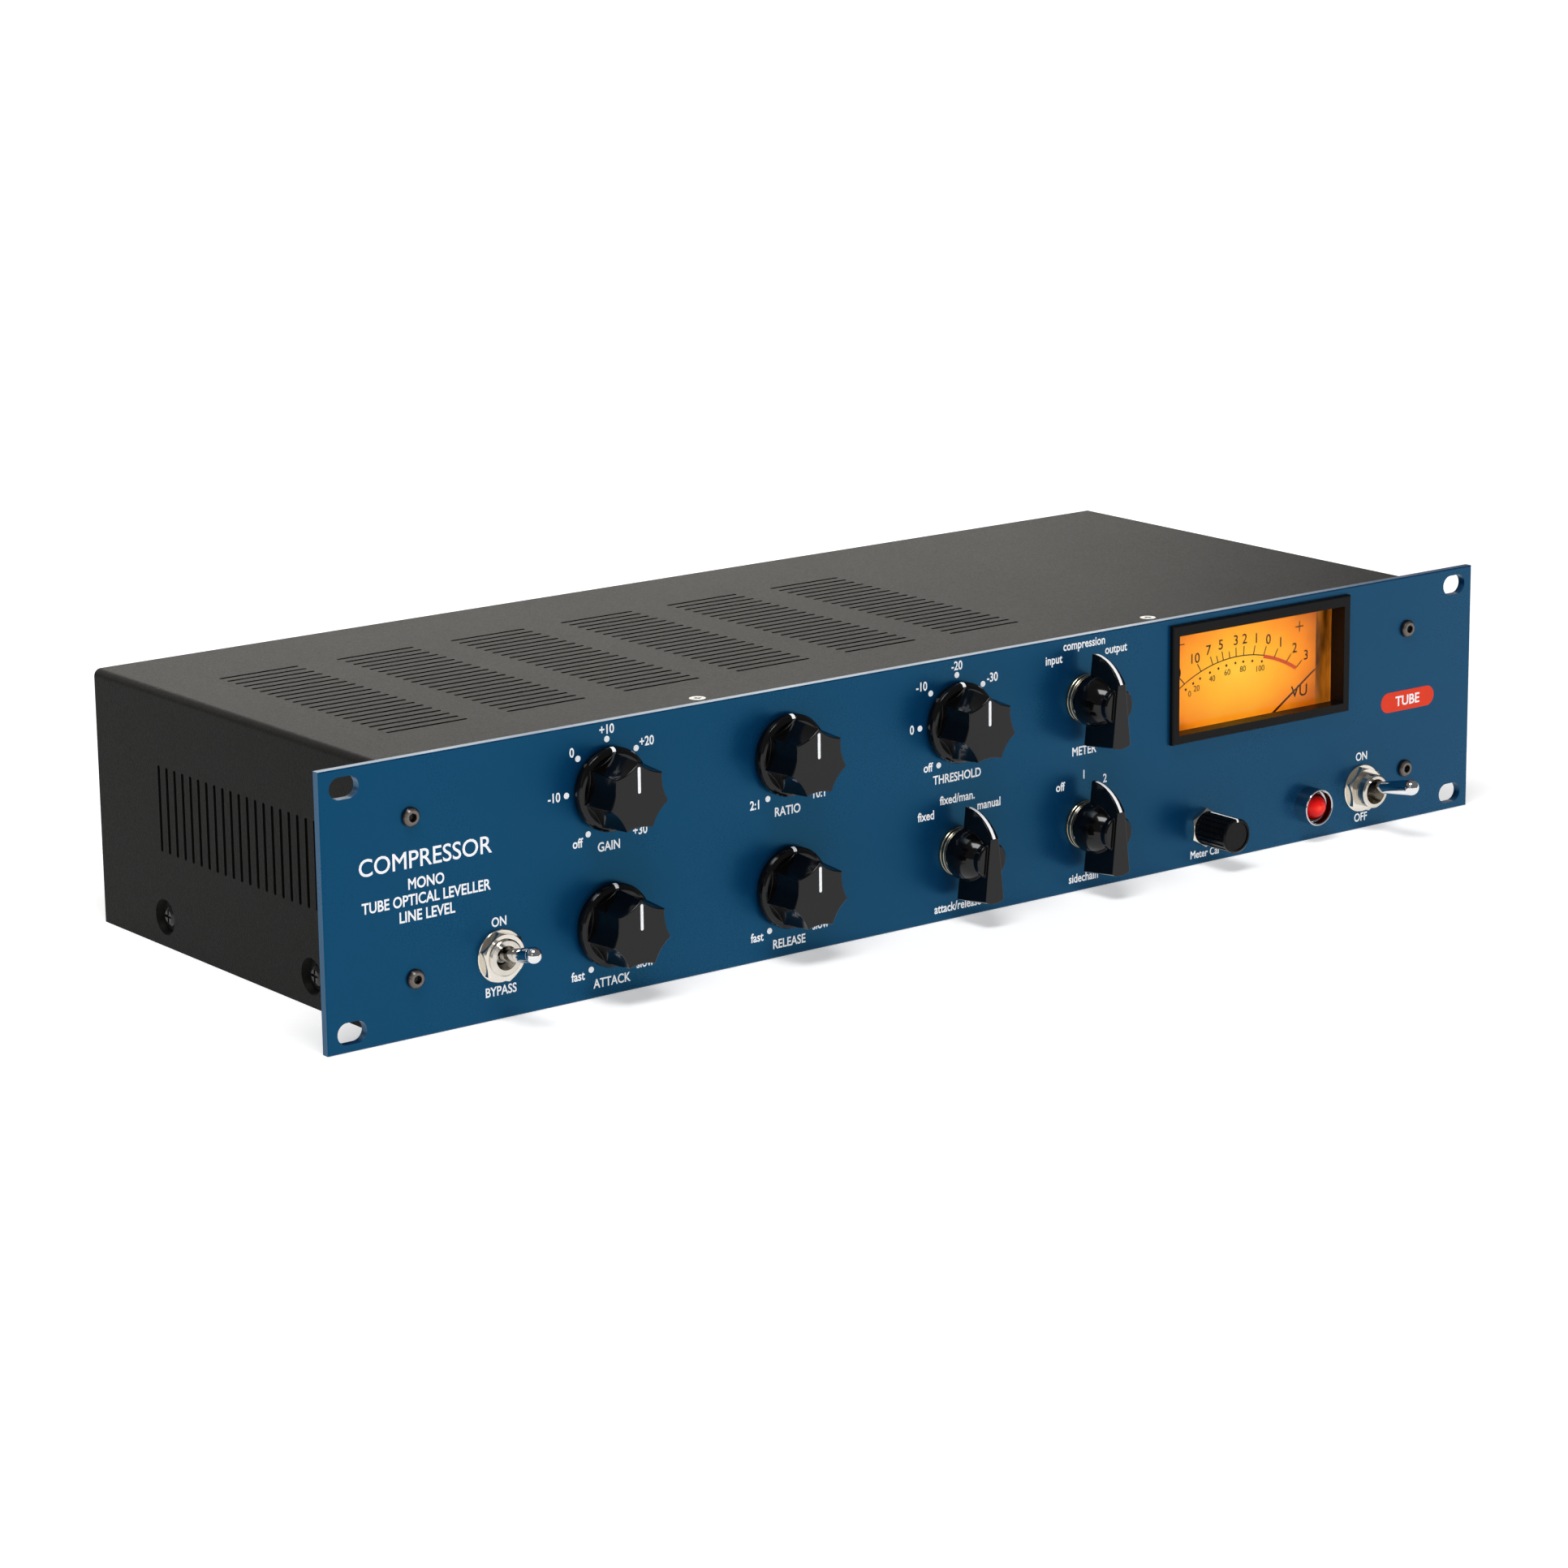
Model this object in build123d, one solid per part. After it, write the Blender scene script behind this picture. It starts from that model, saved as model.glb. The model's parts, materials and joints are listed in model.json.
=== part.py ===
from build123d import *
import math
import os

# Two-unit 19-inch rack compressor. Millimetres, +X right seen from the front, +Y to the rear,
# +Z up. The origin is the centre of the four rack slots, on the face plate's back face.

# ---------------------------------------------------------------- face plate
plate_width = 482.6
plate_height = 88.1
plate_thickness = 3.0
plate_chamfer = 0.35
rack_slot_spacing_x = 465.1
rack_slot_spacing_z = 76.2
rack_slot_length = 10.5
rack_slot_height = 7.0
plate_screw_x = 209.5
plate_screw_z = 25.4
plate_front = -plate_thickness

# ---------------------------------------------------------------- case
sheet = 1.2
case_width = 434.0
case_top = 42.1
case_bottom = -plate_height / 2
case_depth = 175.0
case_bend_radius = 2.5
seam_gap = 0.1
vent_pitch = 5.0
vent_rows = 21
vent_first_y = 35.0
vent_width = 1.5
top_vent_length = 30.0
top_vent_group_pitch = 45.0
top_vent_groups = 6
top_vent_first_x = -178.0
side_vent_z = (-12.0, 17.0)
side_screw_y = (45.0, 135.0)
side_screw_z = -34.0
dimple_radius = 6.0
dimple_floor_radius = 4.7
dimple_depth = 2.1
top_screw_x = (-91.0, 100.0)
top_screw_y = 11.5
tray_half_width = 213.6
tray_flange_top = -22.0
tray_flange_y = (8.0, 168.0)
tray_tab_width = 15.0
tray_tab_top = 38.0
frame_lip_depth = 20.0
frame_foot_depth = 15.0
frame_side_gap = 1.4
frame_tab_inner_x = 203.0
rear_y = case_depth - 0.2
rear_inner_y = rear_y - sheet
rear_screw_x = 208.0
rear_screw_z = (-32.0, 30.0)

# ---------------------------------------------------------------- fasteners
# Screws are (head radius, head height, shank radius, shank length).
plate_screw = (3.1, 1.6, 1.6, 7.0)
side_screw = (3.4, 1.0, 1.5, 5.0)
rear_screw = (2.6, 1.5, 1.2, 6.0)
plate_hole_radius = 1.7
side_hole_radius = 1.6
rear_hole_radius = 1.3
top_screw_head_radius = 2.7
top_screw_neck_radius = 1.3
top_screw_shank_radius = 1.2
top_screw_recess = (3.2, 0.6)
seat_gap = 0.05

# ---------------------------------------------------------------- rotary controls
knob_places = {
    "gain": (-136.6, 22.7),
    "attack": (-136.6, -21.0),
    "ratio": (-66.6, 22.7),
    "release": (-66.6, -21.0),
    "threshold": (3.7, 22.7),
}
selector_places = {
    "timing_selector": (3.8, -21.0),
    "meter_selector": (58.8, 22.6),
    "sidechain_selector": (58.8, -21.0),
}
shaft_radius = 3.0
running_clearance = 0.05
bushing_radius = 4.75
panel_hole_clearance = 0.1
control_back_gap = 0.6
pot_can_radius = 12.0
pot_can_depth = 10.0
pot_shaft_depth = 8.0
pot_lug_turns = (-22, 0, 22)
switch_can_radius = 12.5
switch_can_depth = 15.0
switch_shaft_depth = 10.0
switch_lug_turns = (-60, -30, 0, 30, 60)
lug_size = (1.8, 7.0, 0.8)
lug_reach = 2.5
lug_depth = 3.2
bore_depth_ratio = 0.8
pot_bushing_height = 4.0
selector_bushing_height = 4.8
control_nut_across_flats = 13.8
control_nut_height = 2.4

knob_base_height = 0.6
knob_skirt_radius = 13.5
knob_skirt_top = 4.2
knob_face_height = 17.0
knob_flutes = 7
knob_base_point_radius = 12.2
knob_face_point_radius = 11.2
knob_flute_depth_ratio = 0.83
knob_line_width = 1.15
knob_line_reach = (1.4, 9.9)
knob_line_depth = 0.25
knob_edge_round = 0.35
knob_bore_top = 13.0
knob_hollow_radius = 9.4
knob_hollow_top = 4.8

selector_base_height = 5.2
selector_height = 13.9
selector_hub_radius = 8.9
selector_hub_shoulder = 1.6
selector_dome_point = (7.95, 6.8)
selector_boss_radius = 6.0
selector_boss_foot = 10.3
selector_boss_top = 12.8
selector_boss_round = 0.5
selector_tip_reach = 15.95
selector_tail_reach = 15.8
selector_tail_top_reach = 14.3
selector_tail_bow = 1.0
selector_low_half_widths = (0.9, 4.4)
selector_high_half_widths = (0.8, 3.8)
selector_ridge_foot = (selector_tip_reach, 0.6)
selector_ridge_middle = (13.35, 8.75)
selector_ridge_top = (7.6, 13.75)
selector_face_start = 6.2
selector_recess_radius = 6.4
selector_recess_depth = 1.0
selector_bore_top = 10.5

# ---------------------------------------------------------------- meter trimmer
cal_place = (113.2, -31.0)
cal_knob_radius = 6.0
cal_knob_base = 2.6
cal_knob_top = 17.4
cal_knob_ribs = 20
cal_knob_groove = 0.45
cal_knob_rim_width = 1.1
cal_knob_dish = 0.4
cal_knob_bore_top = 13.0
cal_can_radius = 7.0
cal_can_depth = 7.0
cal_lug_turns = (150, 180, 210)
cal_bushing_radius = 3.4
cal_bushing_height = 4.4
cal_nut_across_flats = 12.0
cal_nut_height = 2.2
cal_shaft_radius = 2.0
cal_shaft_depth = 5.0

# ---------------------------------------------------------------- toggles
bypass_place = (-178.4, -23.7)
power_place = (188.4, -29.2)
toggle_bushing_radius = 5.95
toggle_washer_radius = 8.5
toggle_washer_height = 0.8
toggle_nut_across_flats = 14.3
toggle_nut_height = 3.0
toggle_nut_turn = 12.0
toggle_pin_radius = 0.6
toggle_ball_radius = 2.4
toggle_throat_depth = 5.5
toggle_throat_top = 0.8
toggle_tail_radius = 1.0
toggle_tail_reach = 4.6
toggle_lug_size = (3.2, 0.9, 7.0)
bypass_body_size = (13.0, 24.0, 18.0)
bypass_bushing_height = 3.9
bypass_mouth_radius = 3.9
bypass_lever_reach = 18.75
bypass_tip_radius = 2.65
bypass_root_radius = 1.75
bypass_tilt = 12.6
power_body_size = (16.0, 22.0, 20.0)
power_bushing_height = 7.6
power_mouth_radius = 4.5
power_lever_reach = 25.2
power_tip_radius = 2.8
power_root_radius = 1.65
power_tilt = 11.0

# ---------------------------------------------------------------- pilot lamp
lamp_place = (162.7, -31.2)
lamp_bezel_radius = 6.45
lamp_bezel_height = 6.0
lamp_rim_width = 0.65
lamp_seat_height = 0.8
lamp_neck_radius = 5.0
lamp_neck_wall = 0.9
lamp_neck_depth = 7.0
lamp_jewel_radius = 5.1
lamp_jewel_edge = 2.6
lamp_jewel_sink = 0.9
lamp_holder_radius = 6.4
lamp_holder_depth = 14.0
lamp_nut_across_flats = 13.0
lamp_nut_height = 2.4

# ---------------------------------------------------------------- VU meter
meter_x = 138.85
bezel_width = 83.1
bezel_height = 41.5
bezel_centre_z = 20.95
bezel_proud = 1.7
opening_x = (100.2, 177.4)
opening_z = (3.3, 38.0)
sleeve_wall = 1.2
sleeve_back = 1.0
lens_x = (100.7, 177.0)
lens_z = (-15.0, 37.2)
lens_front = 1.3
lens_back = 9.1
lens_wall = 1.0
dial_front = 8.2
dial_thickness = 0.8
needle_pivot_z = -8.15
needle_length = 41.5
needle_rest_angle = 57.2
needle_y = 6.1
needle_half_widths = (0.42, 0.16)
needle_thickness = 0.4
needle_tail = 5.2
needle_weight_place = 4.4
needle_hub_radius = 1.3
spindle_radius = 0.8
spindle_back = 18.0
spindle_hole_radius = 1.6
meter_case_x = (98.7, 179.0)
meter_case_z = (-17.5, 39.2)
meter_case_back = 34.0
meter_case_wall = 1.4
meter_case_round = 2.0
magnet_radius = 6.2
magnet_front = 12.5
magnet_block = (16.0, 12.0, 5.0)
magnet_block_front = 20.0

# ---------------------------------------------------------------- inside
board_x = (-200.0, 70.0)
board_y = (40.0, 165.0)
board_top = -34.8
board_thickness = 1.6
tube_places = ((-128.0, 90.0), (-58.0, 90.0))
tube_radius = 11.0
tube_height = 55.0
tube_socket_radius = 11.5
tube_socket_height = 8.0
audio_transformer_places = ((-150.0, 130.0), (-95.0, 130.0))
capacitor_places = ((12.0, 70.0), (12.0, 100.0), (42.0, 85.0))
capacitor_radius = 11.0
capacitor_height = 35.0
core_size = (36.0, 18.0, 32.0)
core_leg = 7.0
core_window = 5.0
coil_depth = 28.0
opto_box = ((-190.0, -166.0), (50.0, 66.0))
opto_height = 18.0
toroid_place = (140.0, 90.0)
toroid_radius = 42.0
toroid_hole_radius = 12.0
toroid_height = 38.0
toroid_edge_round = 5.0
clamp_radius = 25.0
clamp_bolt_radius = 2.5
board_hole_radius = 1.6
standoff_across_flats = 6.0
standoff_bore_radius = 1.3

# ---------------------------------------------------------------- rear
xlr_input_place = (-30.0, 0.0)
xlr_output_place = (-75.0, 0.0)
jack_places = ((-120.0, 0.0), (-147.0, 0.0), (-174.0, 0.0))
iec_place = (160.0, 0.0)
xlr_flange = (26.0, 31.0)
flange_thickness = 2.2
xlr_screw_offset = (9.5, 12.0)
xlr_barrel_radius = 11.8
xlr_input_depth = 24.0
xlr_output_depth = 20.0
xlr_cup_radius = 7.9
xlr_ring_radii = (7.3, 9.8)
xlr_cavity_depth = 14.0
xlr_contacts = ((-3.9, 1.6), (3.9, 1.6), (0.0, -3.9))
xlr_pin_radius = 1.2
xlr_hole_radius = 1.35
latch_slot = ((-4.3, 4.3), (10.2, 14.3))
latch_tab = ((-4.0, 4.0), (10.5, 14.0))
latch_depth = 9.0
latch_proud = 2.4
jack_bore_radius = 3.25
jack_bore_depth = 20.0
jack_bushing_radius = 4.7
jack_bushing_height = 4.5
jack_body = ((-8.0, 8.0), (-9.0, 9.0))
jack_body_depth = 23.0
jack_nut_across_flats = 12.7
iec_screw_x = 20.0
iec_flange = (31.0, 33.0)
iec_ears = (49.0, 14.0)
iec_body = ((-14.5, 14.5), (-15.0, 15.0))
iec_body_depth = 24.0
iec_socket_z = -6.3
iec_cavity_depth = 15.0
iec_blades = ((-7.0, -2.0), (7.0, -2.0), (0.0, 2.0))
iec_blade_half = (1.0, 2.0)
drawer_pocket = ((-11.3, 11.3), (5.2, 12.6))
drawer_box = ((-11.0, 11.0), (5.5, 12.3))
drawer_lip = ((-12.4, 12.4), (4.6, 13.2))
drawer_grip = ((-4.0, 4.0), (4.6, 6.4))
drawer_depth = 20.0
fit_gap = 0.3

low = (Align.CENTER, Align.CENTER, Align.MIN)


# ================================================================ shared helpers
def block(x, y, z):
    """Box between two limits on each axis."""
    centre = [(pair[0] + pair[1]) / 2 for pair in (x, y, z)]
    return Pos(*centre) * Box(x[1] - x[0], y[1] - y[0], z[1] - z[0])


def prism_y(sketch, y_front, y_back):
    """Extrude an XZ outline between two depths."""
    return extrude(Plane.XZ.offset(-y_back) * sketch, amount=y_back - y_front)


def rod_y(radius, y_front, y_back, x=0.0, z=0.0):
    """Round bar along Y."""
    return prism_y(Pos(x, z) * Circle(radius), y_front, y_back)


def rod_z(radius, z_low, z_high, x=0.0, y=0.0):
    """Round bar along Z."""
    return Pos(x, y, z_low) * Cylinder(radius, z_high - z_low, align=low)


def turned(points):
    """Solid of revolution about Z from (radius, height) points."""
    return revolve(Plane.XZ * make_face(Polyline(*points, close=True)), Axis.Z)


def hexagon(across_flats):
    """Hexagon with two flats level."""
    return RegularPolygon(across_flats / 2, 6, major_radius=False, rotation=30)


def on_plate(shape, place, height=0.0):
    """Stand a shape built along +Z on the face plate's front."""
    origin = (place[0], plate_front - height, place[1])
    return Plane(origin=origin, x_dir=(1, 0, 0), z_dir=(0, -1, 0)).location * shape


def on_rear(shape, place, depth=0.0):
    """Stand a shape built along +Z on the rear panel's outer face."""
    origin = (place[0], rear_y + depth, place[1])
    return Plane(origin=origin, x_dir=(-1, 0, 0), z_dir=(0, 1, 0)).location * shape


def inset(pair, amount):
    """A pair of limits moved inwards."""
    return (pair[0] + amount, pair[1] - amount)


def at_corners(x, z):
    """The four corners of a rectangle centred on the origin."""
    return [(sx * x, sz * z) for sx in (-1, 1) for sz in (-1, 1)]


def chamfered_nut(across_flats, height, bore_radius):
    """Hexagonal nut along +Z with its front corners turned off."""
    corner = across_flats / math.sqrt(3)
    cone = turned([(0, 0), (corner, 0), (corner, height - 0.6), (corner - 1.0, height), (0, height)])
    nut = extrude(hexagon(across_flats), amount=height) & cone
    return nut - Cylinder(bore_radius, height, align=low)


def socket_screw(head_radius, head_height, shank_radius, length):
    """Button-head screw with a hexagonal socket, head above z = 0 and shank below."""
    rim = head_height * 0.45
    crown = head_radius * 0.72
    head = turned([(0, 0), (head_radius, 0), (head_radius, rim), (crown, head_height), (0, head_height)])
    shank = rod_z(shank_radius, -length, 0)
    socket = Pos(0, 0, head_height * 0.3) * extrude(hexagon(head_radius * 0.8), amount=head_height)
    return head + shank - socket


def cross_screw(head_radius, head_height, shank_radius, length):
    """Pan-head screw with a cross recess, head above z = 0 and shank below."""
    rim = head_height * 0.4
    crown = head_radius * 0.6
    head = turned([(0, 0), (head_radius, 0), (head_radius, rim), (crown, head_height), (0, head_height)])
    slot = Pos(0, 0, head_height * 0.35) * Box(head_radius * 1.2, head_radius * 0.28, head_height, align=low)
    return head + rod_z(shank_radius, -length, 0) - slot - Rot(0, 0, 90) * slot


# ================================================================ face plate and case
def make_faceplate():
    """Flat plate with rack slots and a hole for every control."""
    outline = Rectangle(plate_width, plate_height)
    plate = prism_y(outline, plate_front, 0)
    plate = chamfer(plate.faces().sort_by(Axis.Y)[0].edges(), plate_chamfer)
    cutters = []
    for x, z in at_corners(rack_slot_spacing_x / 2, rack_slot_spacing_z / 2):
        cutters.append(prism_y(Pos(x, z) * SlotOverall(rack_slot_length, rack_slot_height), plate_front, 0))
    for x, z in at_corners(plate_screw_x, plate_screw_z):
        cutters.append(rod_y(plate_hole_radius, plate_front, 0, x, z))
    for x, z in list(knob_places.values()) + list(selector_places.values()):
        cutters.append(rod_y(bushing_radius + panel_hole_clearance, plate_front, 0, x, z))
    for x, z in (bypass_place, power_place):
        cutters.append(rod_y(toggle_bushing_radius + panel_hole_clearance, plate_front, 0, x, z))
    cutters.append(rod_y(cal_bushing_radius + panel_hole_clearance, plate_front, 0, *cal_place))
    cutters.append(rod_y(lamp_neck_radius + panel_hole_clearance, plate_front, 0, *lamp_place))
    margin = sleeve_wall + panel_hole_clearance
    cutters.append(block((opening_x[0] - margin, opening_x[1] + margin), (plate_front, 0),
                         (opening_z[0] - margin, opening_z[1] + margin)))
    return plate - Compound(cutters)


def make_dimple():
    """Dished seat for a side screw: its shell and the hollow that the screw sits in."""
    shell = Cone(dimple_radius + sheet, dimple_floor_radius + sheet, dimple_depth + sheet, align=low)
    hollow = Cone(dimple_radius, dimple_floor_radius, dimple_depth, align=low)
    return shell, hollow


def make_top_cover():
    """Folded sheet: top and both sides, with vents, side screw seats and top screw seats."""
    half = case_width / 2
    shell = block((-half, half), (seam_gap, case_depth), (case_bottom, case_top))
    shell = fillet(shell.edges().filter_by(Axis.Y).group_by(Axis.Z)[-1], case_bend_radius)
    inside = block((-half + sheet, half - sheet), (seam_gap, case_depth), (case_bottom, case_top - sheet))
    inside = fillet(inside.edges().filter_by(Axis.Y).group_by(Axis.Z)[-1], case_bend_radius - sheet)
    cover = shell - inside
    dish_shell, dish_hollow = make_dimple()
    hollows = []
    for y in side_screw_y:
        for side in (-1, 1):
            seat = Pos(side * half, y, side_screw_z) * Rot(0, -90 * side, 0)
            cover += seat * dish_shell
            hollows.append(seat * dish_hollow)
            hollows.append(seat * Cylinder(side_hole_radius, dimple_depth + sheet, align=low))
    cutters = list(hollows)
    top_slot = SlotOverall(top_vent_length, vent_width)
    for group in range(top_vent_groups):
        for row in range(vent_rows):
            x = top_vent_first_x + group * top_vent_group_pitch
            y = vent_first_y + row * vent_pitch
            cutters.append(Pos(x, y, case_top - 2 * sheet) * extrude(top_slot, amount=3 * sheet))
    side_length = side_vent_z[1] - side_vent_z[0]
    side_slot = extrude(SlotOverall(side_length, vent_width, rotation=90), amount=3 * sheet)
    for side in (-1, 1):
        for row in range(vent_rows):
            y = vent_first_y + row * vent_pitch
            middle = sum(side_vent_z) / 2
            place = Plane(origin=(side * (half - 2 * sheet), y, middle), x_dir=(0, 1, 0), z_dir=(side, 0, 0))
            cutters.append(place.location * side_slot)
    for x in top_screw_x:
        seat = Cone(top_screw_neck_radius + seat_gap, top_screw_head_radius + seat_gap, sheet, align=low)
        cutters.append(Pos(x, top_screw_y, case_top - sheet) * seat)
    return cover - Compound(cutters)


def make_chassis_tray():
    """Bottom plate with bent-up side flanges and rear tabs."""
    w = tray_half_width
    floor_top = case_bottom + sheet
    back = rear_inner_y - seam_gap
    tray = block((-w, w), (seam_gap, back), (case_bottom, floor_top))
    for side in (-1, 1):
        edge = sorted((side * w, side * (w - sheet)))
        tray += block(edge, tray_flange_y, (case_bottom, tray_flange_top))
        tab = sorted((side * (w - sheet), side * (w - tray_tab_width)))
        tray += block(tab, (back - sheet, back), (case_bottom, tray_tab_top))
    cutters = [rod_z(board_hole_radius, case_bottom, floor_top, x, y) for x, y in standoff_places()]
    cutters.append(rod_z(clamp_bolt_radius + seam_gap, case_bottom, floor_top, *toroid_place))
    for y in side_screw_y:
        for side in (-1, 1):
            hole = Rot(0, 90, 0) * Cylinder(side_hole_radius, 4 * sheet)
            cutters.append(Pos(side * w, y, side_screw_z) * hole)
    for side in (-1, 1):
        for z in rear_screw_z:
            depth = (rear_inner_y - 4 * sheet, rear_inner_y)
            cutters.append(rod_y(rear_hole_radius, *depth, side * rear_screw_x, z))
    return tray - Compound(cutters)


def make_front_frame():
    """Frame behind the face plate: two end tabs joined by a top lip, with feet on the tray."""
    outer = tray_half_width - frame_side_gap
    top = case_top - sheet - seam_gap
    floor = case_bottom + sheet
    back = seam_gap + sheet
    frame = block((-outer, outer), (seam_gap, frame_lip_depth), (top - sheet, top))
    for side in (-1, 1):
        tab = sorted((side * outer, side * frame_tab_inner_x))
        frame += block(tab, (seam_gap, back), (floor, top))
        frame += block(tab, (seam_gap, frame_foot_depth), (floor, floor + sheet))
    corners = at_corners(plate_screw_x, plate_screw_z)
    cutters = [rod_y(plate_hole_radius, 0, 2 * sheet, x, z) for x, z in corners]
    for x in top_screw_x:
        cutters.append(rod_z(top_screw_neck_radius, top - 2 * sheet, top + sheet, x, top_screw_y))
    return frame - Compound(cutters)


def make_rear_panel():
    """Flat panel with cut-outs for the connectors."""
    half = case_width / 2 - sheet - 0.3
    panel = block((-half, half), (rear_inner_y, rear_y), (case_bottom + 0.1, case_top - sheet - 0.2))
    panel = fillet(panel.edges().filter_by(Axis.Y).group_by(Axis.Z)[-1], case_bend_radius)
    cutters = []
    for x, z in (xlr_input_place, xlr_output_place):
        cutters.append(rod_y(xlr_barrel_radius + 0.2, rear_inner_y, rear_y, x, z))
        for dx, dz in xlr_screw_offsets():
            cutters.append(rod_y(rear_hole_radius, rear_inner_y, rear_y, x + dx, z + dz))
    latch_x, latch_z = xlr_input_place
    latch_half_width = latch_slot[0][1] + 0.9
    latch_window = (latch_z + latch_slot[1][0] - 1.2, latch_z + latch_slot[1][1] + 0.9)
    cutters.append(block((latch_x - latch_half_width, latch_x + latch_half_width), (rear_inner_y, rear_y),
                         latch_window))
    for x, z in jack_places:
        cutters.append(rod_y(jack_bushing_radius + 0.1, rear_inner_y, rear_y, x, z))
    x, z = iec_place
    cutters.append(block((x - 14.8, x + 14.8), (rear_inner_y, rear_y), (z - 15.2, z + 15.2)))
    for side in (-1, 1):
        cutters.append(rod_y(rear_hole_radius, rear_inner_y, rear_y, x + side * iec_screw_x, z))
        for screw_z in rear_screw_z:
            cutters.append(rod_y(rear_hole_radius, rear_inner_y, rear_y, side * rear_screw_x, screw_z))
    return panel - Compound(cutters)


# ================================================================ fasteners
def make_faceplate_screws():
    """Four black socket screws through the face plate into the front frame."""
    screw = socket_screw(*plate_screw)
    return [on_plate(screw, place) for place in at_corners(plate_screw_x, plate_screw_z)]


def make_cover_side_screws():
    """Pan-head screws in the dimples, two a side."""
    screws = []
    for y in side_screw_y:
        for side in (-1, 1):
            seat = Pos(side * (case_width / 2 - dimple_depth), y, side_screw_z) * Rot(0, 90 * side, 0)
            screws.append(seat * cross_screw(*side_screw))
    return screws


def make_cover_top_screws():
    """Countersunk screws that hold the cover to the front frame's lip."""
    length, width = top_screw_recess
    head = Cone(top_screw_neck_radius, top_screw_head_radius, sheet, align=low)
    slot = Pos(0, 0, sheet / 2) * Box(length, width, sheet, align=low)
    screw = head + rod_z(top_screw_shank_radius, -sheet - 2 * seam_gap, 0) - slot - Rot(0, 0, 90) * slot
    return [Pos(x, top_screw_y, case_top - sheet) * screw for x in top_screw_x]


def xlr_screw_offsets():
    """Two opposite corners of an XLR flange."""
    dx, dz = xlr_screw_offset
    return ((-dx, dz), (dx, -dz))


def make_rear_screws():
    """Identical pan-head screws: four for the rear panel, two for each connector with a flange."""
    screw = cross_screw(*rear_screw)
    screws = []
    for side in (-1, 1):
        for z in rear_screw_z:
            screws.append(on_rear(screw, (side * rear_screw_x, z)))
        screws.append(on_rear(screw, (iec_place[0] + side * iec_screw_x, iec_place[1]), flange_thickness))
    for x, z in (xlr_input_place, xlr_output_place):
        for dx, dz in xlr_screw_offsets():
            screws.append(on_rear(screw, (x + dx, z + dz), flange_thickness))
    return screws


# ================================================================ rotary controls
def control_body(can_radius, can_depth, bushing, bushing_height, shaft, lug_turns):
    """Control behind the plate, along +Z towards the user: can, bushing and solder lugs."""
    back = -plate_thickness - control_back_gap
    body = rod_z(can_radius, back - can_depth, back) + rod_z(bushing, back, bushing_height)
    body = chamfer(body.faces().sort_by(Axis.Z)[-1].edges(), 0.4)
    for turn in lug_turns:
        lug = Pos(0, -can_radius - lug_reach, back - lug_depth) * Box(*lug_size)
        body += Rot(0, 0, turn) * lug
    return body - rod_z(shaft + running_clearance, back - can_depth * bore_depth_ratio, bushing_height)


def make_potentiometers():
    """One for each fluted knob."""
    pot = control_body(pot_can_radius, pot_can_depth, bushing_radius, pot_bushing_height, shaft_radius,
                       pot_lug_turns)
    return [on_plate(pot, place) for place in knob_places.values()]


def make_selector_switches():
    """Three-position rotary switches."""
    switch = control_body(switch_can_radius, switch_can_depth, bushing_radius, selector_bushing_height,
                          shaft_radius, switch_lug_turns)
    return [on_plate(switch, place) for place in selector_places.values()]


def make_cal_potentiometer():
    """Small potentiometer that trims the meter."""
    pot = control_body(cal_can_radius, cal_can_depth, cal_bushing_radius, cal_bushing_height,
                       cal_shaft_radius, cal_lug_turns)
    return on_plate(pot, cal_place)


def make_control_nuts():
    """The nuts that hold the potentiometers and rotary switches on the plate."""
    nut = chamfered_nut(control_nut_across_flats, control_nut_height, bushing_radius)
    small_nut = chamfered_nut(cal_nut_across_flats, cal_nut_height, cal_bushing_radius)
    places = list(knob_places.values()) + list(selector_places.values())
    return [on_plate(nut, place) for place in places] + [on_plate(small_nut, cal_place)]


def make_shaft(place, radius, back_depth, tip_height):
    """Control shaft from inside the can to inside the knob."""
    length = plate_thickness + back_depth
    return on_plate(rod_z(radius, -length, tip_height), place)


def fluted_outline(point_radius):
    """Star of shallow concave arcs with one point upwards."""
    step = 2 * math.pi / knob_flutes
    valley = point_radius * knob_flute_depth_ratio
    edges = []
    for k in range(knob_flutes):
        start, end = k * step, (k + 1) * step
        middle = start + step / 2
        a = (point_radius * math.sin(start), point_radius * math.cos(start))
        m = (valley * math.sin(middle), valley * math.cos(middle))
        b = (point_radius * math.sin(end), point_radius * math.cos(end))
        edges.append(ThreePointArc(a, m, b))
    return make_face(edges)


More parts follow.
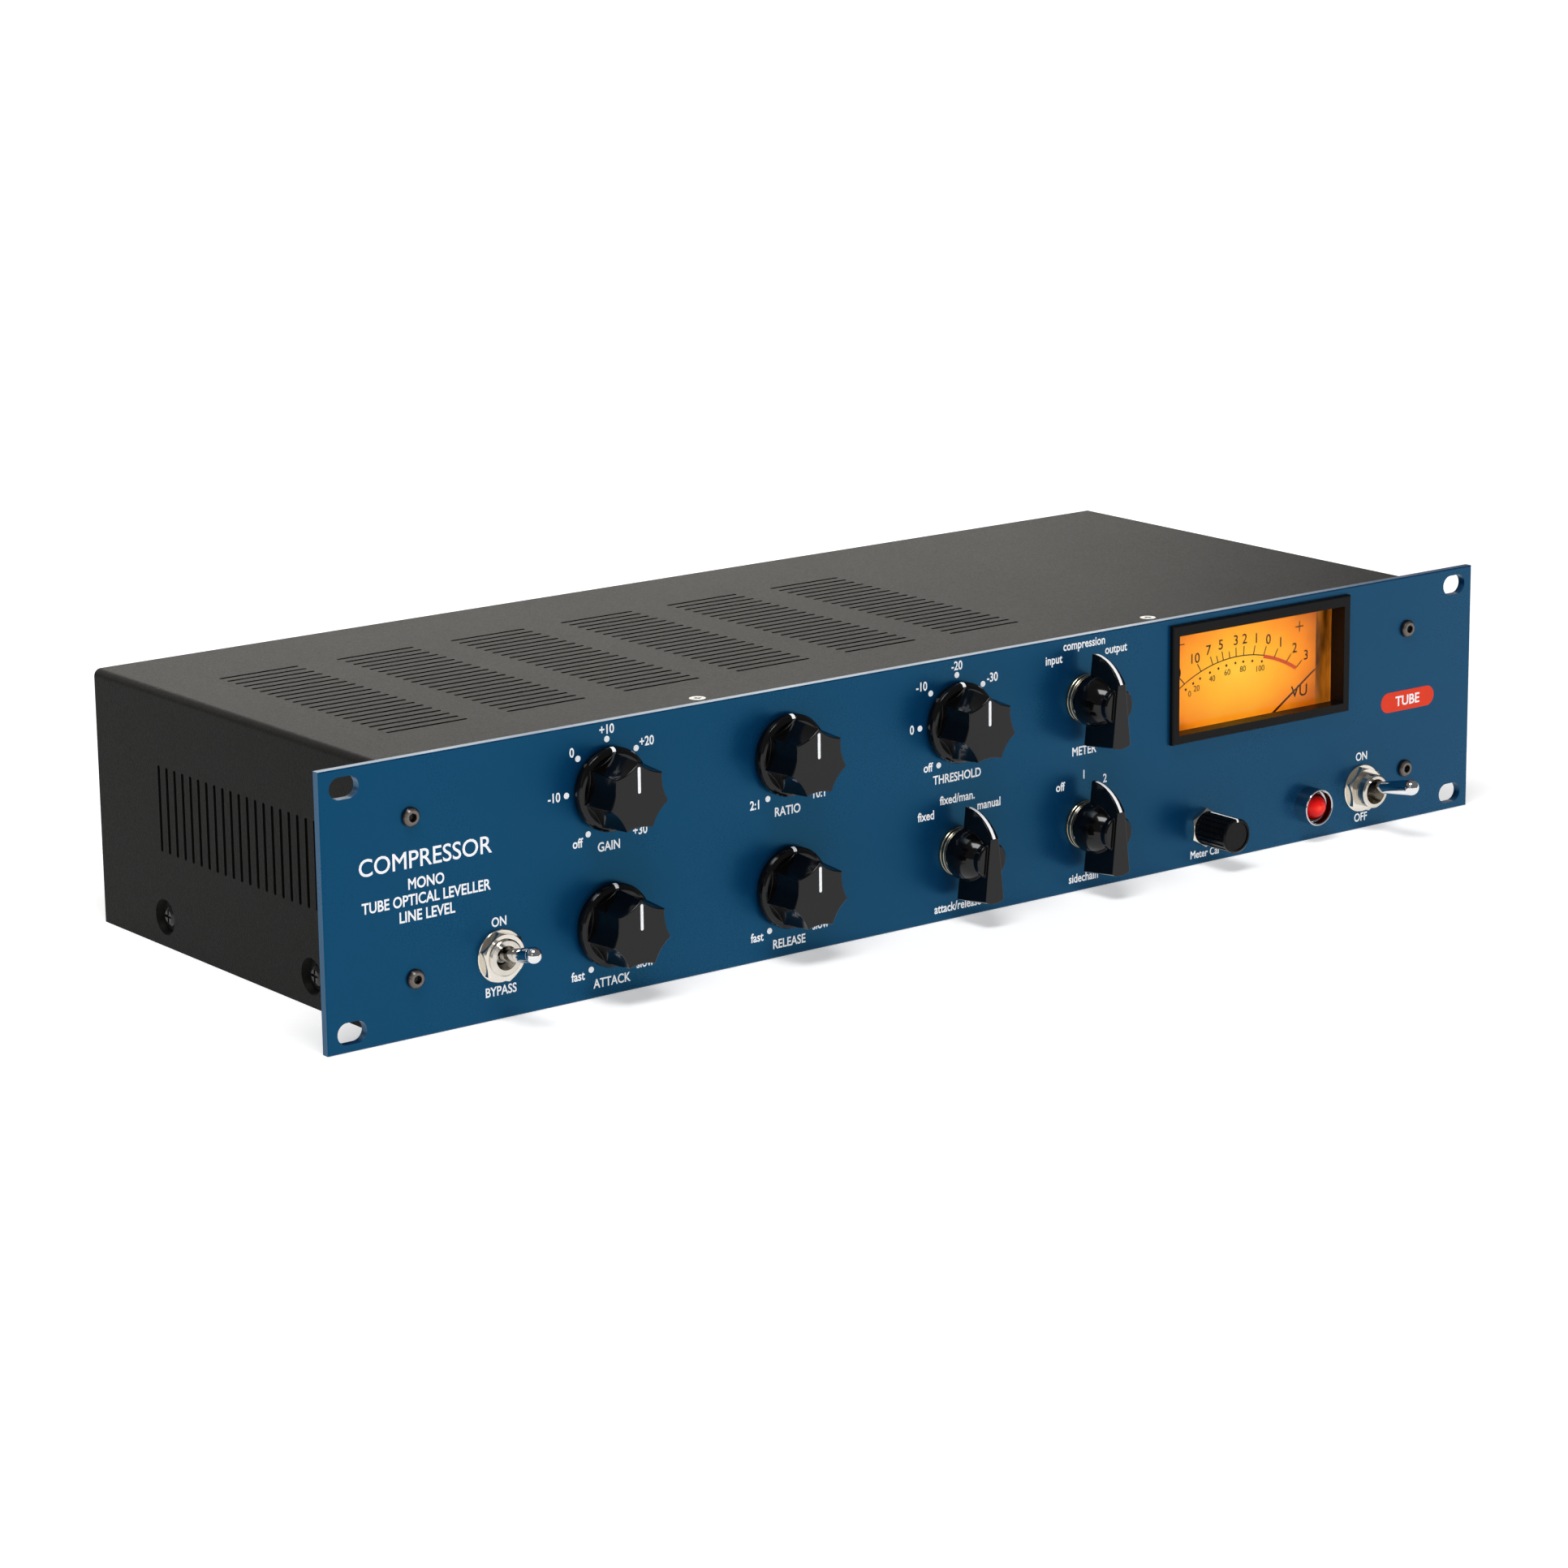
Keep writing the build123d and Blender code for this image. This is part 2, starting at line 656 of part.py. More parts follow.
def make_fluted_knob(place):
    """Skirted knob: hollow round skirt, tapered fluted grip, pointer groove and skirt mark."""
    skirt = turned([
        (0, knob_base_height),
        (knob_skirt_radius - 0.3, knob_base_height),
        (knob_skirt_radius, knob_base_height + 0.5),
        (knob_skirt_radius, knob_skirt_top - 1.5),
        (knob_skirt_radius - 0.35, knob_skirt_top - 0.7),
        (knob_skirt_radius - 1.0, knob_skirt_top - 0.25),
        (knob_skirt_radius - 1.9, knob_skirt_top),
        (0, knob_skirt_top),
    ])
    low_outline = Pos(0, 0, knob_skirt_top - 0.5) * fluted_outline(knob_base_point_radius)
    high_outline = Pos(0, 0, knob_face_height) * fluted_outline(knob_face_point_radius)
    grip = loft([low_outline, high_outline])
    grip = fillet(grip.faces().sort_by(Axis.Z)[-1].edges(), knob_edge_round)
    knob = skirt + grip
    knob -= rod_z(knob_hollow_radius, 0, knob_hollow_top)
    knob -= rod_z(shaft_radius, 0, knob_bore_top)
    middle = sum(knob_line_reach) / 2
    length = knob_line_reach[1] - knob_line_reach[0]
    groove = extrude(SlotOverall(length, knob_line_width, rotation=90), amount=1)
    knob -= Pos(0, middle, knob_face_height - knob_line_depth) * groove
    return on_plate(knob, place)


def pointer_plan(tip_half, tail_half, tip, tail):
    """Wedge-shaped outline with a bowed tail, pointing up."""
    corner = -tail + selector_tail_bow
    sides = Polyline((-tail_half, corner), (-tip_half, tip), (tip_half, tip), (tail_half, corner))
    bow = ThreePointArc((tail_half, corner), (0, -tail), (-tail_half, corner))
    return make_face([sides, bow])


def selector_hub():
    """Domed hub that ends in a short round boss."""
    shoulder = (selector_hub_radius, selector_hub_shoulder)
    boss_foot = (selector_boss_radius, selector_boss_foot)
    boss_edge = selector_boss_top - selector_boss_round
    dome = ThreePointArc(shoulder, selector_dome_point, boss_foot)
    front = Polyline(
        boss_foot,
        (selector_boss_radius, boss_edge),
        (selector_boss_radius - selector_boss_round, selector_boss_top),
        (0, selector_boss_top),
        (0, 0),
        (selector_hub_radius, 0),
        shoulder,
    )
    return revolve(Plane.XZ * make_face([dome, front]), Axis.Z)


def make_selector_knob(place):
    """Pointer knob: domed hub and a long wedge whose ridge curves down to the tip."""
    low_plan = pointer_plan(*selector_low_half_widths, selector_tip_reach, selector_tail_reach)
    high_plan = pointer_plan(*selector_high_half_widths, selector_tip_reach, selector_tail_top_reach)
    wedge = loft([low_plan, Pos(0, 0, selector_height) * high_plan])
    ridge = ThreePointArc(selector_ridge_foot, selector_ridge_middle, selector_ridge_top)
    far = 1.5 * selector_tail_reach
    rest = Polyline(
        selector_ridge_top,
        (selector_face_start, selector_height),
        (-far, selector_height),
        (-far, 0),
        (selector_tip_reach, 0),
        selector_ridge_foot,
    )
    side = extrude(Plane.YZ * make_face([ridge, rest]), amount=selector_hub_radius, both=True)
    knob = selector_hub() + (wedge & side)
    knob -= rod_z(selector_recess_radius, 0, selector_recess_depth)
    knob -= rod_z(shaft_radius, 0, selector_bore_top)
    return on_plate(knob, place, selector_base_height)


def make_cal_knob():
    """Slim ribbed knob with a dished face."""
    radius, top = cal_knob_radius, cal_knob_top
    grooves = []
    for k in range(cal_knob_ribs):
        turn = 2 * math.pi * (k + 0.5) / cal_knob_ribs
        grooves.append(Pos(radius * math.sin(turn), radius * math.cos(turn)) * Circle(cal_knob_groove))
    outline = Circle(radius) - grooves
    grip = Pos(0, 0, cal_knob_base) * extrude(outline, amount=top - cal_knob_base - 0.9)
    cap = turned([
        (0, top - 1.2),
        (radius, top - 1.2),
        (radius, top - 0.5),
        (radius - 0.5, top),
        (radius - cal_knob_rim_width, top),
        (radius - cal_knob_rim_width, top - cal_knob_dish),
        (0, top - cal_knob_dish),
    ])
    knob = grip + cap
    knob -= rod_z(cal_bushing_radius + cal_knob_dish, 0, cal_bushing_height + cal_knob_dish)
    knob -= rod_z(cal_shaft_radius, 0, cal_knob_bore_top)
    return on_plate(knob, cal_place)


# ================================================================ toggles
def make_toggle_switch(place, bushing_height, mouth_radius, body_size):
    """Switch body, threaded bushing with a flared mouth, and the lever's pivot pin."""
    back = -plate_thickness - control_back_gap
    width, height, depth = body_size
    body = Pos(0, 0, back - depth / 2) * Box(width, height, depth)
    bushing = rod_z(toggle_bushing_radius, back, bushing_height)
    bushing = chamfer(bushing.faces().sort_by(Axis.Z)[-1].edges(), 0.5)
    body += bushing
    for lug_y in (-0.3 * height, 0, 0.3 * height):
        body += Pos(0, lug_y, back - depth - 3) * Box(*toggle_lug_size)
    throat = toggle_ball_radius + fit_gap
    body -= turned([
        (0, -toggle_throat_depth),
        (throat, -toggle_throat_depth),
        (throat, toggle_throat_top),
        (mouth_radius, bushing_height),
        (0, bushing_height),
    ])
    body -= Rot(0, 90, 0) * Cylinder(toggle_pin_radius, 2 * toggle_bushing_radius)
    pin = Rot(0, 90, 0) * Cylinder(toggle_pin_radius, 2 * toggle_bushing_radius - 1.0)
    return [on_plate(body, place), on_plate(pin, place)]


def make_toggle_lever(place, reach, tip_radius, root_radius, tilt):
    """Round bat lever that swells to its tip, on a drilled ball, tilted upwards about its pivot."""
    bat = turned([(0, 0), (root_radius, 0), (0.985 * tip_radius, reach), (0, reach)])
    lever = bat + Pos(0, 0, reach) * Sphere(tip_radius) + Sphere(toggle_ball_radius)
    lever += rod_z(toggle_tail_radius, -toggle_tail_reach, 0)
    lever -= Rot(0, 90, 0) * Cylinder(toggle_pin_radius + running_clearance, 4 * toggle_ball_radius)
    return on_plate(Rot(-tilt, 0, 0) * lever, place)


def make_toggle_hardware():
    """Round washer and hexagonal nut on each toggle bushing."""
    pieces = []
    washer = Cylinder(toggle_washer_radius, toggle_washer_height, align=low)
    washer = chamfer(washer.faces().sort_by(Axis.Z)[-1].edges(), 0.25)
    washer -= Cylinder(toggle_bushing_radius, toggle_nut_height, align=low)
    nut_depth = toggle_nut_height - toggle_washer_height
    nut = chamfered_nut(toggle_nut_across_flats, nut_depth, toggle_bushing_radius)
    nut = Rot(0, 0, toggle_nut_turn) * nut
    for place in (bypass_place, power_place):
        pieces.append(on_plate(washer, place))
        pieces.append(on_plate(nut, place, toggle_washer_height))
    return pieces


# ================================================================ pilot lamp
def make_lamp_bezel():
    """Bright turned ring with a threaded neck through the plate."""
    outer, height = lamp_bezel_radius, lamp_bezel_height
    mouth = outer - lamp_rim_width
    seat = lamp_jewel_radius + running_clearance
    neck_bore = lamp_neck_radius - lamp_neck_wall
    neck_end = -plate_thickness - lamp_neck_depth
    bezel = turned([
        (seat, lamp_seat_height),
        (seat, height / 2),
        (mouth - 0.1, height / 2 + fit_gap),
        (mouth, height - 0.25),
        (mouth + 0.25, height),
        (outer - 0.2, height),
        (outer, height - 0.25),
        (outer, 0),
        (lamp_neck_radius, 0),
        (lamp_neck_radius, neck_end),
        (neck_bore, neck_end),
        (neck_bore, lamp_seat_height),
    ])
    return on_plate(bezel, lamp_place)


def make_lamp_jewel():
    """Red domed lens seated in the bezel."""
    base = rod_z(lamp_jewel_radius, lamp_seat_height, lamp_jewel_edge)
    dome = Pos(0, 0, lamp_jewel_edge - lamp_jewel_sink) * Sphere(lamp_jewel_radius + lamp_jewel_sink / 10)
    dome = dome & rod_z(lamp_jewel_radius, lamp_jewel_edge, 2 * lamp_jewel_radius)
    return on_plate(base + dome, lamp_place)


def make_lamp_holder():
    """Lamp body in the neck and its nut behind the plate."""
    back = -plate_thickness
    neck_bore = lamp_neck_radius - lamp_neck_wall
    foot = back - lamp_holder_depth
    holder = rod_z(neck_bore - seam_gap, foot, lamp_seat_height / 2)
    holder += rod_z(lamp_holder_radius, foot, back - lamp_neck_depth - 0.2)
    nut = chamfered_nut(lamp_nut_across_flats, lamp_nut_height, lamp_neck_radius + 0.02)
    return [on_plate(holder, lamp_place), on_plate(nut, lamp_place, back - lamp_nut_height - 0.2)]


# ================================================================ VU meter
def make_meter_bezel():
    """Black frame on the plate's front with a sleeve through the cut-out."""
    front = plate_front - bezel_proud
    middle = Pos(meter_x, bezel_centre_z)
    frame = prism_y(middle * Rectangle(bezel_width, bezel_height), front, plate_front)
    frame = chamfer(frame.faces().sort_by(Axis.Y)[0].edges(), 0.4)
    frame += block((opening_x[0] - sleeve_wall, opening_x[1] + sleeve_wall), (plate_front, sleeve_back),
                   (opening_z[0] - sleeve_wall, opening_z[1] + sleeve_wall))
    return frame - block(opening_x, (front - 1, sleeve_back + 1), opening_z)


def make_meter_window():
    """Clear moulded cover, open towards the dial."""
    cover = block(lens_x, (lens_front, lens_back), lens_z)
    cover = fillet(cover.edges().filter_by(Axis.Y), 1.2)
    cover = fillet(cover.faces().sort_by(Axis.Y)[0].edges(), 0.35)
    hollow = block(inset(lens_x, lens_wall), (lens_front + lens_wall, lens_back), inset(lens_z, lens_wall))
    return cover - hollow


def make_meter_dial():
    """Flat printed dial with a hole for the needle's spindle."""
    gap = lens_wall + 0.2
    depth = (dial_front, dial_front + dial_thickness)
    dial = block(inset(lens_x, gap), depth, inset(lens_z, gap))
    return dial - rod_y(spindle_hole_radius, *depth, meter_x, needle_pivot_z)


def make_meter_case():
    """Opaque case around the window and behind the dial, open to the front."""
    inner_x, inner_z = inset(meter_case_x, meter_case_wall), inset(meter_case_z, meter_case_wall)
    case = block(meter_case_x, (lens_front, meter_case_back), meter_case_z)
    case = fillet(case.faces().sort_by(Axis.Y)[-1].edges(), meter_case_round)
    case -= block(inner_x, (lens_front, meter_case_back - meter_case_wall), inner_z)
    ledge_front = lens_back + seam_gap
    ledge = block(inner_x, (ledge_front, ledge_front + 1.5), inner_z)
    ledge -= block(inset(lens_x, 5), (lens_back, ledge_front + 2), inset(lens_z, 3))
    return case + ledge


def make_meter_movement():
    """Magnet block with the spindle's bearing, held on the case's back wall."""
    back = meter_case_back - meter_case_wall
    half_width, up, down = magnet_block
    body = rod_y(magnet_radius, magnet_front, back, meter_x, needle_pivot_z)
    body += block((meter_x - half_width, meter_x + half_width), (magnet_block_front, back),
                  (needle_pivot_z - down, needle_pivot_z + up))
    bore_radius = spindle_radius + running_clearance
    return body - rod_y(bore_radius, magnet_front, spindle_back + 1, meter_x, needle_pivot_z)


def make_meter_needle():
    """Thin needle with a balance tail, a hub and a spindle."""
    root, tip = needle_half_widths
    blade = Polyline((-root, -needle_tail), (-root, 0), (-tip, needle_length),
                     (tip, needle_length), (root, 0), (root, -needle_tail), close=True)
    needle = extrude(make_face(blade), amount=needle_thickness)
    needle += Pos(0, -needle_weight_place, 0) * Cylinder(2 * root, 2 * needle_thickness, align=low)
    needle += Cylinder(needle_hub_radius, 3 * needle_thickness, align=low)
    needle += rod_z(spindle_radius, needle_y - spindle_back, 0)
    pivot = (meter_x, needle_y + needle_thickness, needle_pivot_z)
    place = Plane(origin=pivot, x_dir=(1, 0, 0), z_dir=(0, -1, 0))
    return place.location * (Rot(0, 0, -needle_rest_angle) * needle)


# ================================================================ inside
def standoff_places():
    """Eight supports under the main board."""
    xs = (board_x[0] + 8, board_x[0] + 92, board_x[0] + 178, board_x[1] - 8)
    return [(x, y) for x in xs for y in inset(board_y, 7)]


def make_main_board():
    """Printed circuit board with mounting holes."""
    bottom = board_top - board_thickness
    board = block(board_x, board_y, (bottom, board_top))
    return board - Compound([rod_z(board_hole_radius, bottom, board_top, x, y) for x, y in standoff_places()])


def make_board_standoffs():
    """Hexagonal spacers between the tray and the board."""
    floor = case_bottom + sheet
    height = board_top - board_thickness - floor
    spacer = extrude(hexagon(standoff_across_flats), amount=height)
    spacer -= Cylinder(standoff_bore_radius, height, align=low)
    return [Pos(x, y, floor) * spacer for x, y in standoff_places()]


def make_tube_sockets():
    """Round sockets on the board."""
    socket = Pos(0, 0, board_top) * Cylinder(tube_socket_radius, tube_socket_height, align=low)
    return [Pos(x, y, 0) * socket for x, y in tube_places]


def make_vacuum_tubes():
    """Upright glass tubes with a domed top and an evacuation tip."""
    r, h = tube_radius, tube_height
    base = board_top + tube_socket_height
    tube = turned([(0, 0), (r, 0), (r, 0.8 * h), (0.9 * r, 0.865 * h), (0.6 * r, 0.91 * h),
                   (0.15 * r, 0.93 * h), (0.11 * r, 0.98 * h), (0, h)])
    return [Pos(x, y, base) * tube for x, y in tube_places]


def make_opto_cell():
    """Screened can with the lamp and light cell."""
    can = block(*opto_box, (board_top, board_top + opto_height))
    return fillet(can.edges().filter_by(Axis.Z), 2)


def make_filter_capacitors():
    """Upright electrolytic capacitors with a rolled groove."""
    r, h = capacitor_radius, capacitor_height
    can = turned([(0, 0), (r, 0), (r, 3), (r - 0.8, 4), (r, 5), (r, h - 1), (r - 1, h), (0, h)])
    return [Pos(x, y, board_top) * can for x, y in capacitor_places]


def make_audio_transformers():
    """Input and output transformers: laminated core with two windows and a coil through them."""
    width, depth, height = core_size
    inner = width / 2 - core_leg
    outline = ((-width / 2, width / 2), (-depth / 2, depth / 2))
    window_z = (height / 2 - 10, height / 2 + 10)
    core = block(*outline, (0, height))
    core -= block((-inner, core_window + 1 - inner), outline[1], window_z)
    core -= block((inner - core_window - 1, inner), outline[1], window_z)
    middle_leg = (core_window + 1 - inner, inner - core_window - 1)
    coil_x = inset((-inner, inner), seam_gap)
    coil = block(coil_x, (-coil_depth / 2, coil_depth / 2), inset(window_z, seam_gap))
    coil -= block(middle_leg, outline[1], window_z)
    return [Pos(x, y, board_top) * piece for x, y in audio_transformer_places for piece in (core, coil)]


def make_power_transformer():
    """Toroidal winding with rounded edges, lying on the tray."""
    floor = case_bottom + sheet
    ring = rod_z(toroid_radius, floor, floor + toroid_height, *toroid_place)
    ring -= rod_z(toroid_hole_radius, floor, floor + toroid_height, *toroid_place)
    return fillet(ring.edges().filter_by(GeomType.CIRCLE), toroid_edge_round)


def make_transformer_clamp():
    """Dished clamp plate and the bolt and nut that pull it down on the winding."""
    top = case_bottom + sheet + toroid_height
    r, bore, dish = clamp_radius, clamp_bolt_radius + seam_gap, 2.0
    plate = turned([(bore, -dish), (0.4 * r, -dish), (0.56 * r, 0.05), (r, 0.05), (r, dish), (0.54 * r, dish),
                    (0.38 * r, 0), (bore, 0)])
    bolt = rod_z(clamp_bolt_radius, case_bottom + 0.2, top + 5, *toroid_place)
    seat = Pos(toroid_place[0], toroid_place[1], top)
    return [seat * plate, bolt, seat * chamfered_nut(8, 4, clamp_bolt_radius)]


# ================================================================ rear connectors
def xlr_flange_plate():
    """Rectangular connector flange with its screw holes."""
    plate = extrude(RectangleRounded(*xlr_flange, 2), amount=flange_thickness)
    plate = chamfer(plate.faces().sort_by(Axis.Z)[-1].edges(), 0.4)
    holes = [rod_z(rear_hole_radius, 0, flange_thickness, -dx, dz) for dx, dz in xlr_screw_offsets()]
    return plate - Compound(holes)


def make_xlr_input():
    """Female connector: ring-shaped cavity round a core with three contact holes."""
    core_radius, cavity_radius = xlr_ring_radii
    body = xlr_flange_plate() + rod_z(xlr_barrel_radius, -xlr_input_depth, 0)
    cavity = rod_z(cavity_radius, -xlr_cavity_depth, flange_thickness)
    body -= cavity - rod_z(core_radius, -xlr_cavity_depth, flange_thickness - 0.6)
    contact_hole = (xlr_hole_radius, 2 - xlr_cavity_depth, flange_thickness)
    body -= Compound([rod_z(*contact_hole, x, y) for x, y in xlr_contacts])
    body -= block(*latch_slot, (-xlr_input_depth, flange_thickness))
    return on_rear(body, xlr_input_place)


def make_xlr_latch():
    """Push tab of the input connector's latch, behind a slot in the flange."""
    tab = block(*latch_tab, (-latch_depth, flange_thickness + latch_proud))
    tab = fillet(tab.faces().sort_by(Axis.Z)[-1].edges(), 0.8)
    return on_rear(tab, xlr_input_place)


def make_xlr_output():
    """Male connector: round cup with three pins."""
    body = xlr_flange_plate() + rod_z(xlr_barrel_radius, -xlr_output_depth, 0)
    body -= rod_z(xlr_cup_radius, 1 - xlr_cavity_depth, flange_thickness)
    for x, y in xlr_contacts:
        pin = rod_z(xlr_pin_radius, -xlr_cavity_depth, 0, x, y)
        body += chamfer(pin.faces().sort_by(Axis.Z)[-1].edges(), 0.5)
    return on_rear(body, xlr_output_place)


def make_line_jacks():
    """Quarter-inch jacks with their nuts."""
    body = block(*jack_body, (-jack_body_depth, -sheet - seam_gap))
    body += rod_z(jack_bushing_radius, -2, jack_bushing_height)
    body = chamfer(body.faces().sort_by(Axis.Z)[-1].edges(), 0.4)
    body -= rod_z(jack_bore_radius, -jack_bore_depth, jack_bushing_height)
    nut = chamfered_nut(jack_nut_across_flats, 2.4, jack_bushing_radius)
    return [on_rear(piece, place) for place in jack_places for piece in (body, nut)]


def inlet_cavity_outline():
    """Mains plug outline: rectangle with two cut corners at the top."""
    return make_face(Polyline((-12.1, -8.2), (12.1, -8.2), (12.1, 3.6), (7.6, 8.2), (-7.6, 8.2), (-12.1, 3.6),
                              close=True))


def make_iec_inlet():
    """Mains inlet with three blades, a flange with screw ears and a fuse drawer pocket."""
    flange = extrude(RectangleRounded(*iec_flange, 2) + SlotOverall(*iec_ears), amount=flange_thickness)
    flange = chamfer(flange.faces().sort_by(Axis.Z)[-1].edges(), 0.4)
    body = flange + block(*iec_body, (-iec_body_depth, 0))
    cavity_start = Pos(0, iec_socket_z, -iec_cavity_depth)
    body -= extrude(cavity_start * inlet_cavity_outline(), amount=iec_cavity_depth + flange_thickness)
    half_width, half_height = iec_blade_half
    for x, y in iec_blades:
        middle = iec_socket_z + y
        body += block((x - half_width, x + half_width), (middle - half_height, middle + half_height),
                      (-iec_cavity_depth, 0))
    body -= block(*drawer_pocket, (-drawer_depth - 2, flange_thickness))
    screw_hole = (rear_hole_radius, 0, flange_thickness)
    body -= Compound([rod_z(*screw_hole, side * iec_screw_x, 0) for side in (-1, 1)])
    return on_rear(body, iec_place)


def make_fuse_drawer():
    """Sliding drawer for the fuse, with a grip lip outside."""
    lip_back = flange_thickness + seam_gap
    lip_front = lip_back + 1.4
    drawer = block(*drawer_box, (-drawer_depth, lip_back))
    drawer -= block(inset(drawer_box[0], 1.5), (drawer_box[1][0] + 1.3, drawer_box[1][1]),
                    (1.5 - drawer_depth, 8.5 - drawer_depth))
    drawer += block(*drawer_lip, (lip_back, lip_front))
    drawer += block(*drawer_grip, (lip_front, lip_front + 1.5))
    return on_rear(drawer, iec_place)


# ================================================================ write every node
def write(node, shape):
    """One STEP file per node; a list becomes a group of separate solids."""
    if isinstance(shape, list):
        shape = Compound([solid for piece in shape for solid in piece.solids()])
    export_step(shape, f"parts/{node}.step")


def main():
    """Build and write all nodes."""
    os.makedirs("parts", exist_ok=True)
    write("faceplate", make_faceplate())
    write("top_cover", make_top_cover())
    write("chassis_tray", make_chassis_tray())
    write("front_frame", make_front_frame())
    write("rear_panel", make_rear_panel())
    write("faceplate_screws", make_faceplate_screws())
    write("cover_side_screws", make_cover_side_screws())
    write("cover_top_screws", make_cover_top_screws())
    write("rear_screws", make_rear_screws())
    write("potentiometers", make_potentiometers())
    write("selector_switches", make_selector_switches())
    write("cal_potentiometer", make_cal_potentiometer())
    write("control_nuts", make_control_nuts())
    for name, place in knob_places.items():
        write(f"{name}_knob", make_fluted_knob(place))
        write(f"{name}_shaft", make_shaft(place, shaft_radius, pot_shaft_depth, knob_bore_top))
    for name, place in selector_places.items():
        write(f"{name}_knob", make_selector_knob(place))
        shaft_tip = selector_base_height + selector_bore_top
        write(f"{name}_shaft", make_shaft(place, shaft_radius, switch_shaft_depth, shaft_tip))
    write("meter_cal_knob", make_cal_knob())
    write("meter_cal_shaft", make_shaft(cal_place, cal_shaft_radius, cal_shaft_depth, cal_knob_bore_top))
    write("bypass_switch",
          make_toggle_switch(bypass_place, bypass_bushing_height, bypass_mouth_radius, bypass_body_size))
    write("power_switch",
          make_toggle_switch(power_place, power_bushing_height, power_mouth_radius, power_body_size))
    write("bypass_toggle",
          make_toggle_lever(bypass_place, bypass_lever_reach, bypass_tip_radius, bypass_root_radius,
                            bypass_tilt))
    write("power_toggle",
          make_toggle_lever(power_place, power_lever_reach, power_tip_radius, power_root_radius, power_tilt))
    write("toggle_hardware", make_toggle_hardware())
    write("lamp_bezel", make_lamp_bezel())
    write("lamp_jewel", make_lamp_jewel())
    write("lamp_holder", make_lamp_holder())
    write("meter_bezel", make_meter_bezel())
    write("meter_window", make_meter_window())
    write("meter_dial", make_meter_dial())
    write("meter_case", make_meter_case())
    write("meter_movement", make_meter_movement())
    write("meter_needle", make_meter_needle())
    write("main_board", make_main_board())
    write("board_standoffs", make_board_standoffs())
    write("tube_sockets", make_tube_sockets())
    write("vacuum_tubes", make_vacuum_tubes())
    write("opto_cell", make_opto_cell())
    write("filter_capacitors", make_filter_capacitors())
    write("audio_transformers", make_audio_transformers())
    write("power_transformer", make_power_transformer())
    write("transformer_clamp", make_transformer_clamp())
    write("xlr_input", make_xlr_input())
    write("xlr_latch", make_xlr_latch())
    write("xlr_output", make_xlr_output())
    write("line_jacks", make_line_jacks())
    write("iec_inlet", make_iec_inlet())
    write("fuse_drawer", make_fuse_drawer())


main()
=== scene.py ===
"""Looks of the rack compressor: materials, screen print, meter print, paint lines, lights and camera."""
import json
import math

import bmesh
import bpy
from mathutils import Matrix, Vector


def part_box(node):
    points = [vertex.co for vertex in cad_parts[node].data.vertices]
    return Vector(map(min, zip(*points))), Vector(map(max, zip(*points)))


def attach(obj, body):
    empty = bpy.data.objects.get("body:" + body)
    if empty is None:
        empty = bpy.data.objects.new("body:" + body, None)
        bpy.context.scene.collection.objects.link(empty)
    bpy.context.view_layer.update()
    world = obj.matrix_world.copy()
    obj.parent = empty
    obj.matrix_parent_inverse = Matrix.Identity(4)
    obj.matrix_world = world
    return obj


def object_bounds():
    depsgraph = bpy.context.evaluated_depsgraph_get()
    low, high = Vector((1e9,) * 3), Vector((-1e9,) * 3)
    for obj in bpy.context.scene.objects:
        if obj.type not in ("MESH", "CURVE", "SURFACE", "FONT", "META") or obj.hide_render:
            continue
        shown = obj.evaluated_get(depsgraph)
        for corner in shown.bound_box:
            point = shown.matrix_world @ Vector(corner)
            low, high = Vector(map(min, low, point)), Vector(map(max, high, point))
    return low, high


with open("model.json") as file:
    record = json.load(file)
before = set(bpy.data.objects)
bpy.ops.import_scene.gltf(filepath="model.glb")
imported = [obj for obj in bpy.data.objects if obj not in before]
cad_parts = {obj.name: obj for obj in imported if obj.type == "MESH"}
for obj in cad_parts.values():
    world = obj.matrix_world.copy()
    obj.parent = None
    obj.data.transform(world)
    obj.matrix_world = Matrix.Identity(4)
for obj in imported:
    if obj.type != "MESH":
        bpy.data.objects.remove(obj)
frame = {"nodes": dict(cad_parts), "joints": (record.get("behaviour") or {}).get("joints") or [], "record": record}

MM = 0.001
cad_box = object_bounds()

# ---------------------------------------------------------------- sizes, in millimetres
KNOBS = ("gain", "attack", "ratio", "release", "threshold")
SELECTORS = ("timing_selector", "meter_selector", "sidechain_selector")

INK = 0.03                 # thickness of the screen print
SCALE_RADIUS = 15.65       # ring of scale dots round a knob
DOT_TURNS = (-150, -90, -45, 0, 45, 150)
DOT_RADIUS = 1.0
LABEL_RADIUS = 19.6
NAME_DROP = 18.4           # from a knob's centre down to its name
CAPITAL = 2.85             # height of a capital in the small lettering
REAR_CAPITAL = 3.0
FONT_CAPITAL = 0.682       # the built-in font's capital height at size 1
LETTER_WIDTH = 0.86        # how far the small lettering is condensed
LETTER_WEIGHT = 0.02       # how far each stroke is thickened, at size 1
TITLE_PLACE = (-204.5, 12.2)
TITLE_CAPITAL = 5.3
TITLE_WIDTH = 48
LINES_DROP = 7.6           # from the title down to the first line under it
LINE_STEP = 5.0
BADGE_PLACE = (210.5, -0.4)
BADGE_RADIUS = 3.6
BADGE_STRAIGHT = 9.4       # half of the tab's straight run

PLATE_SCREW_HEAD = 3.1     # radius
# Radius and height of the ring round a selector's nut
COLLAR = ((8.02, 0.0), (8.15, 0.0), (8.27, 0.15), (8.27, 1.0), (8.12, 1.2), (8.12, 1.5), (8.27, 1.7),
          (8.27, 2.5), (8.12, 2.7), (8.12, 3.0), (8.27, 3.2), (8.12, 3.7), (8.02, 3.7))

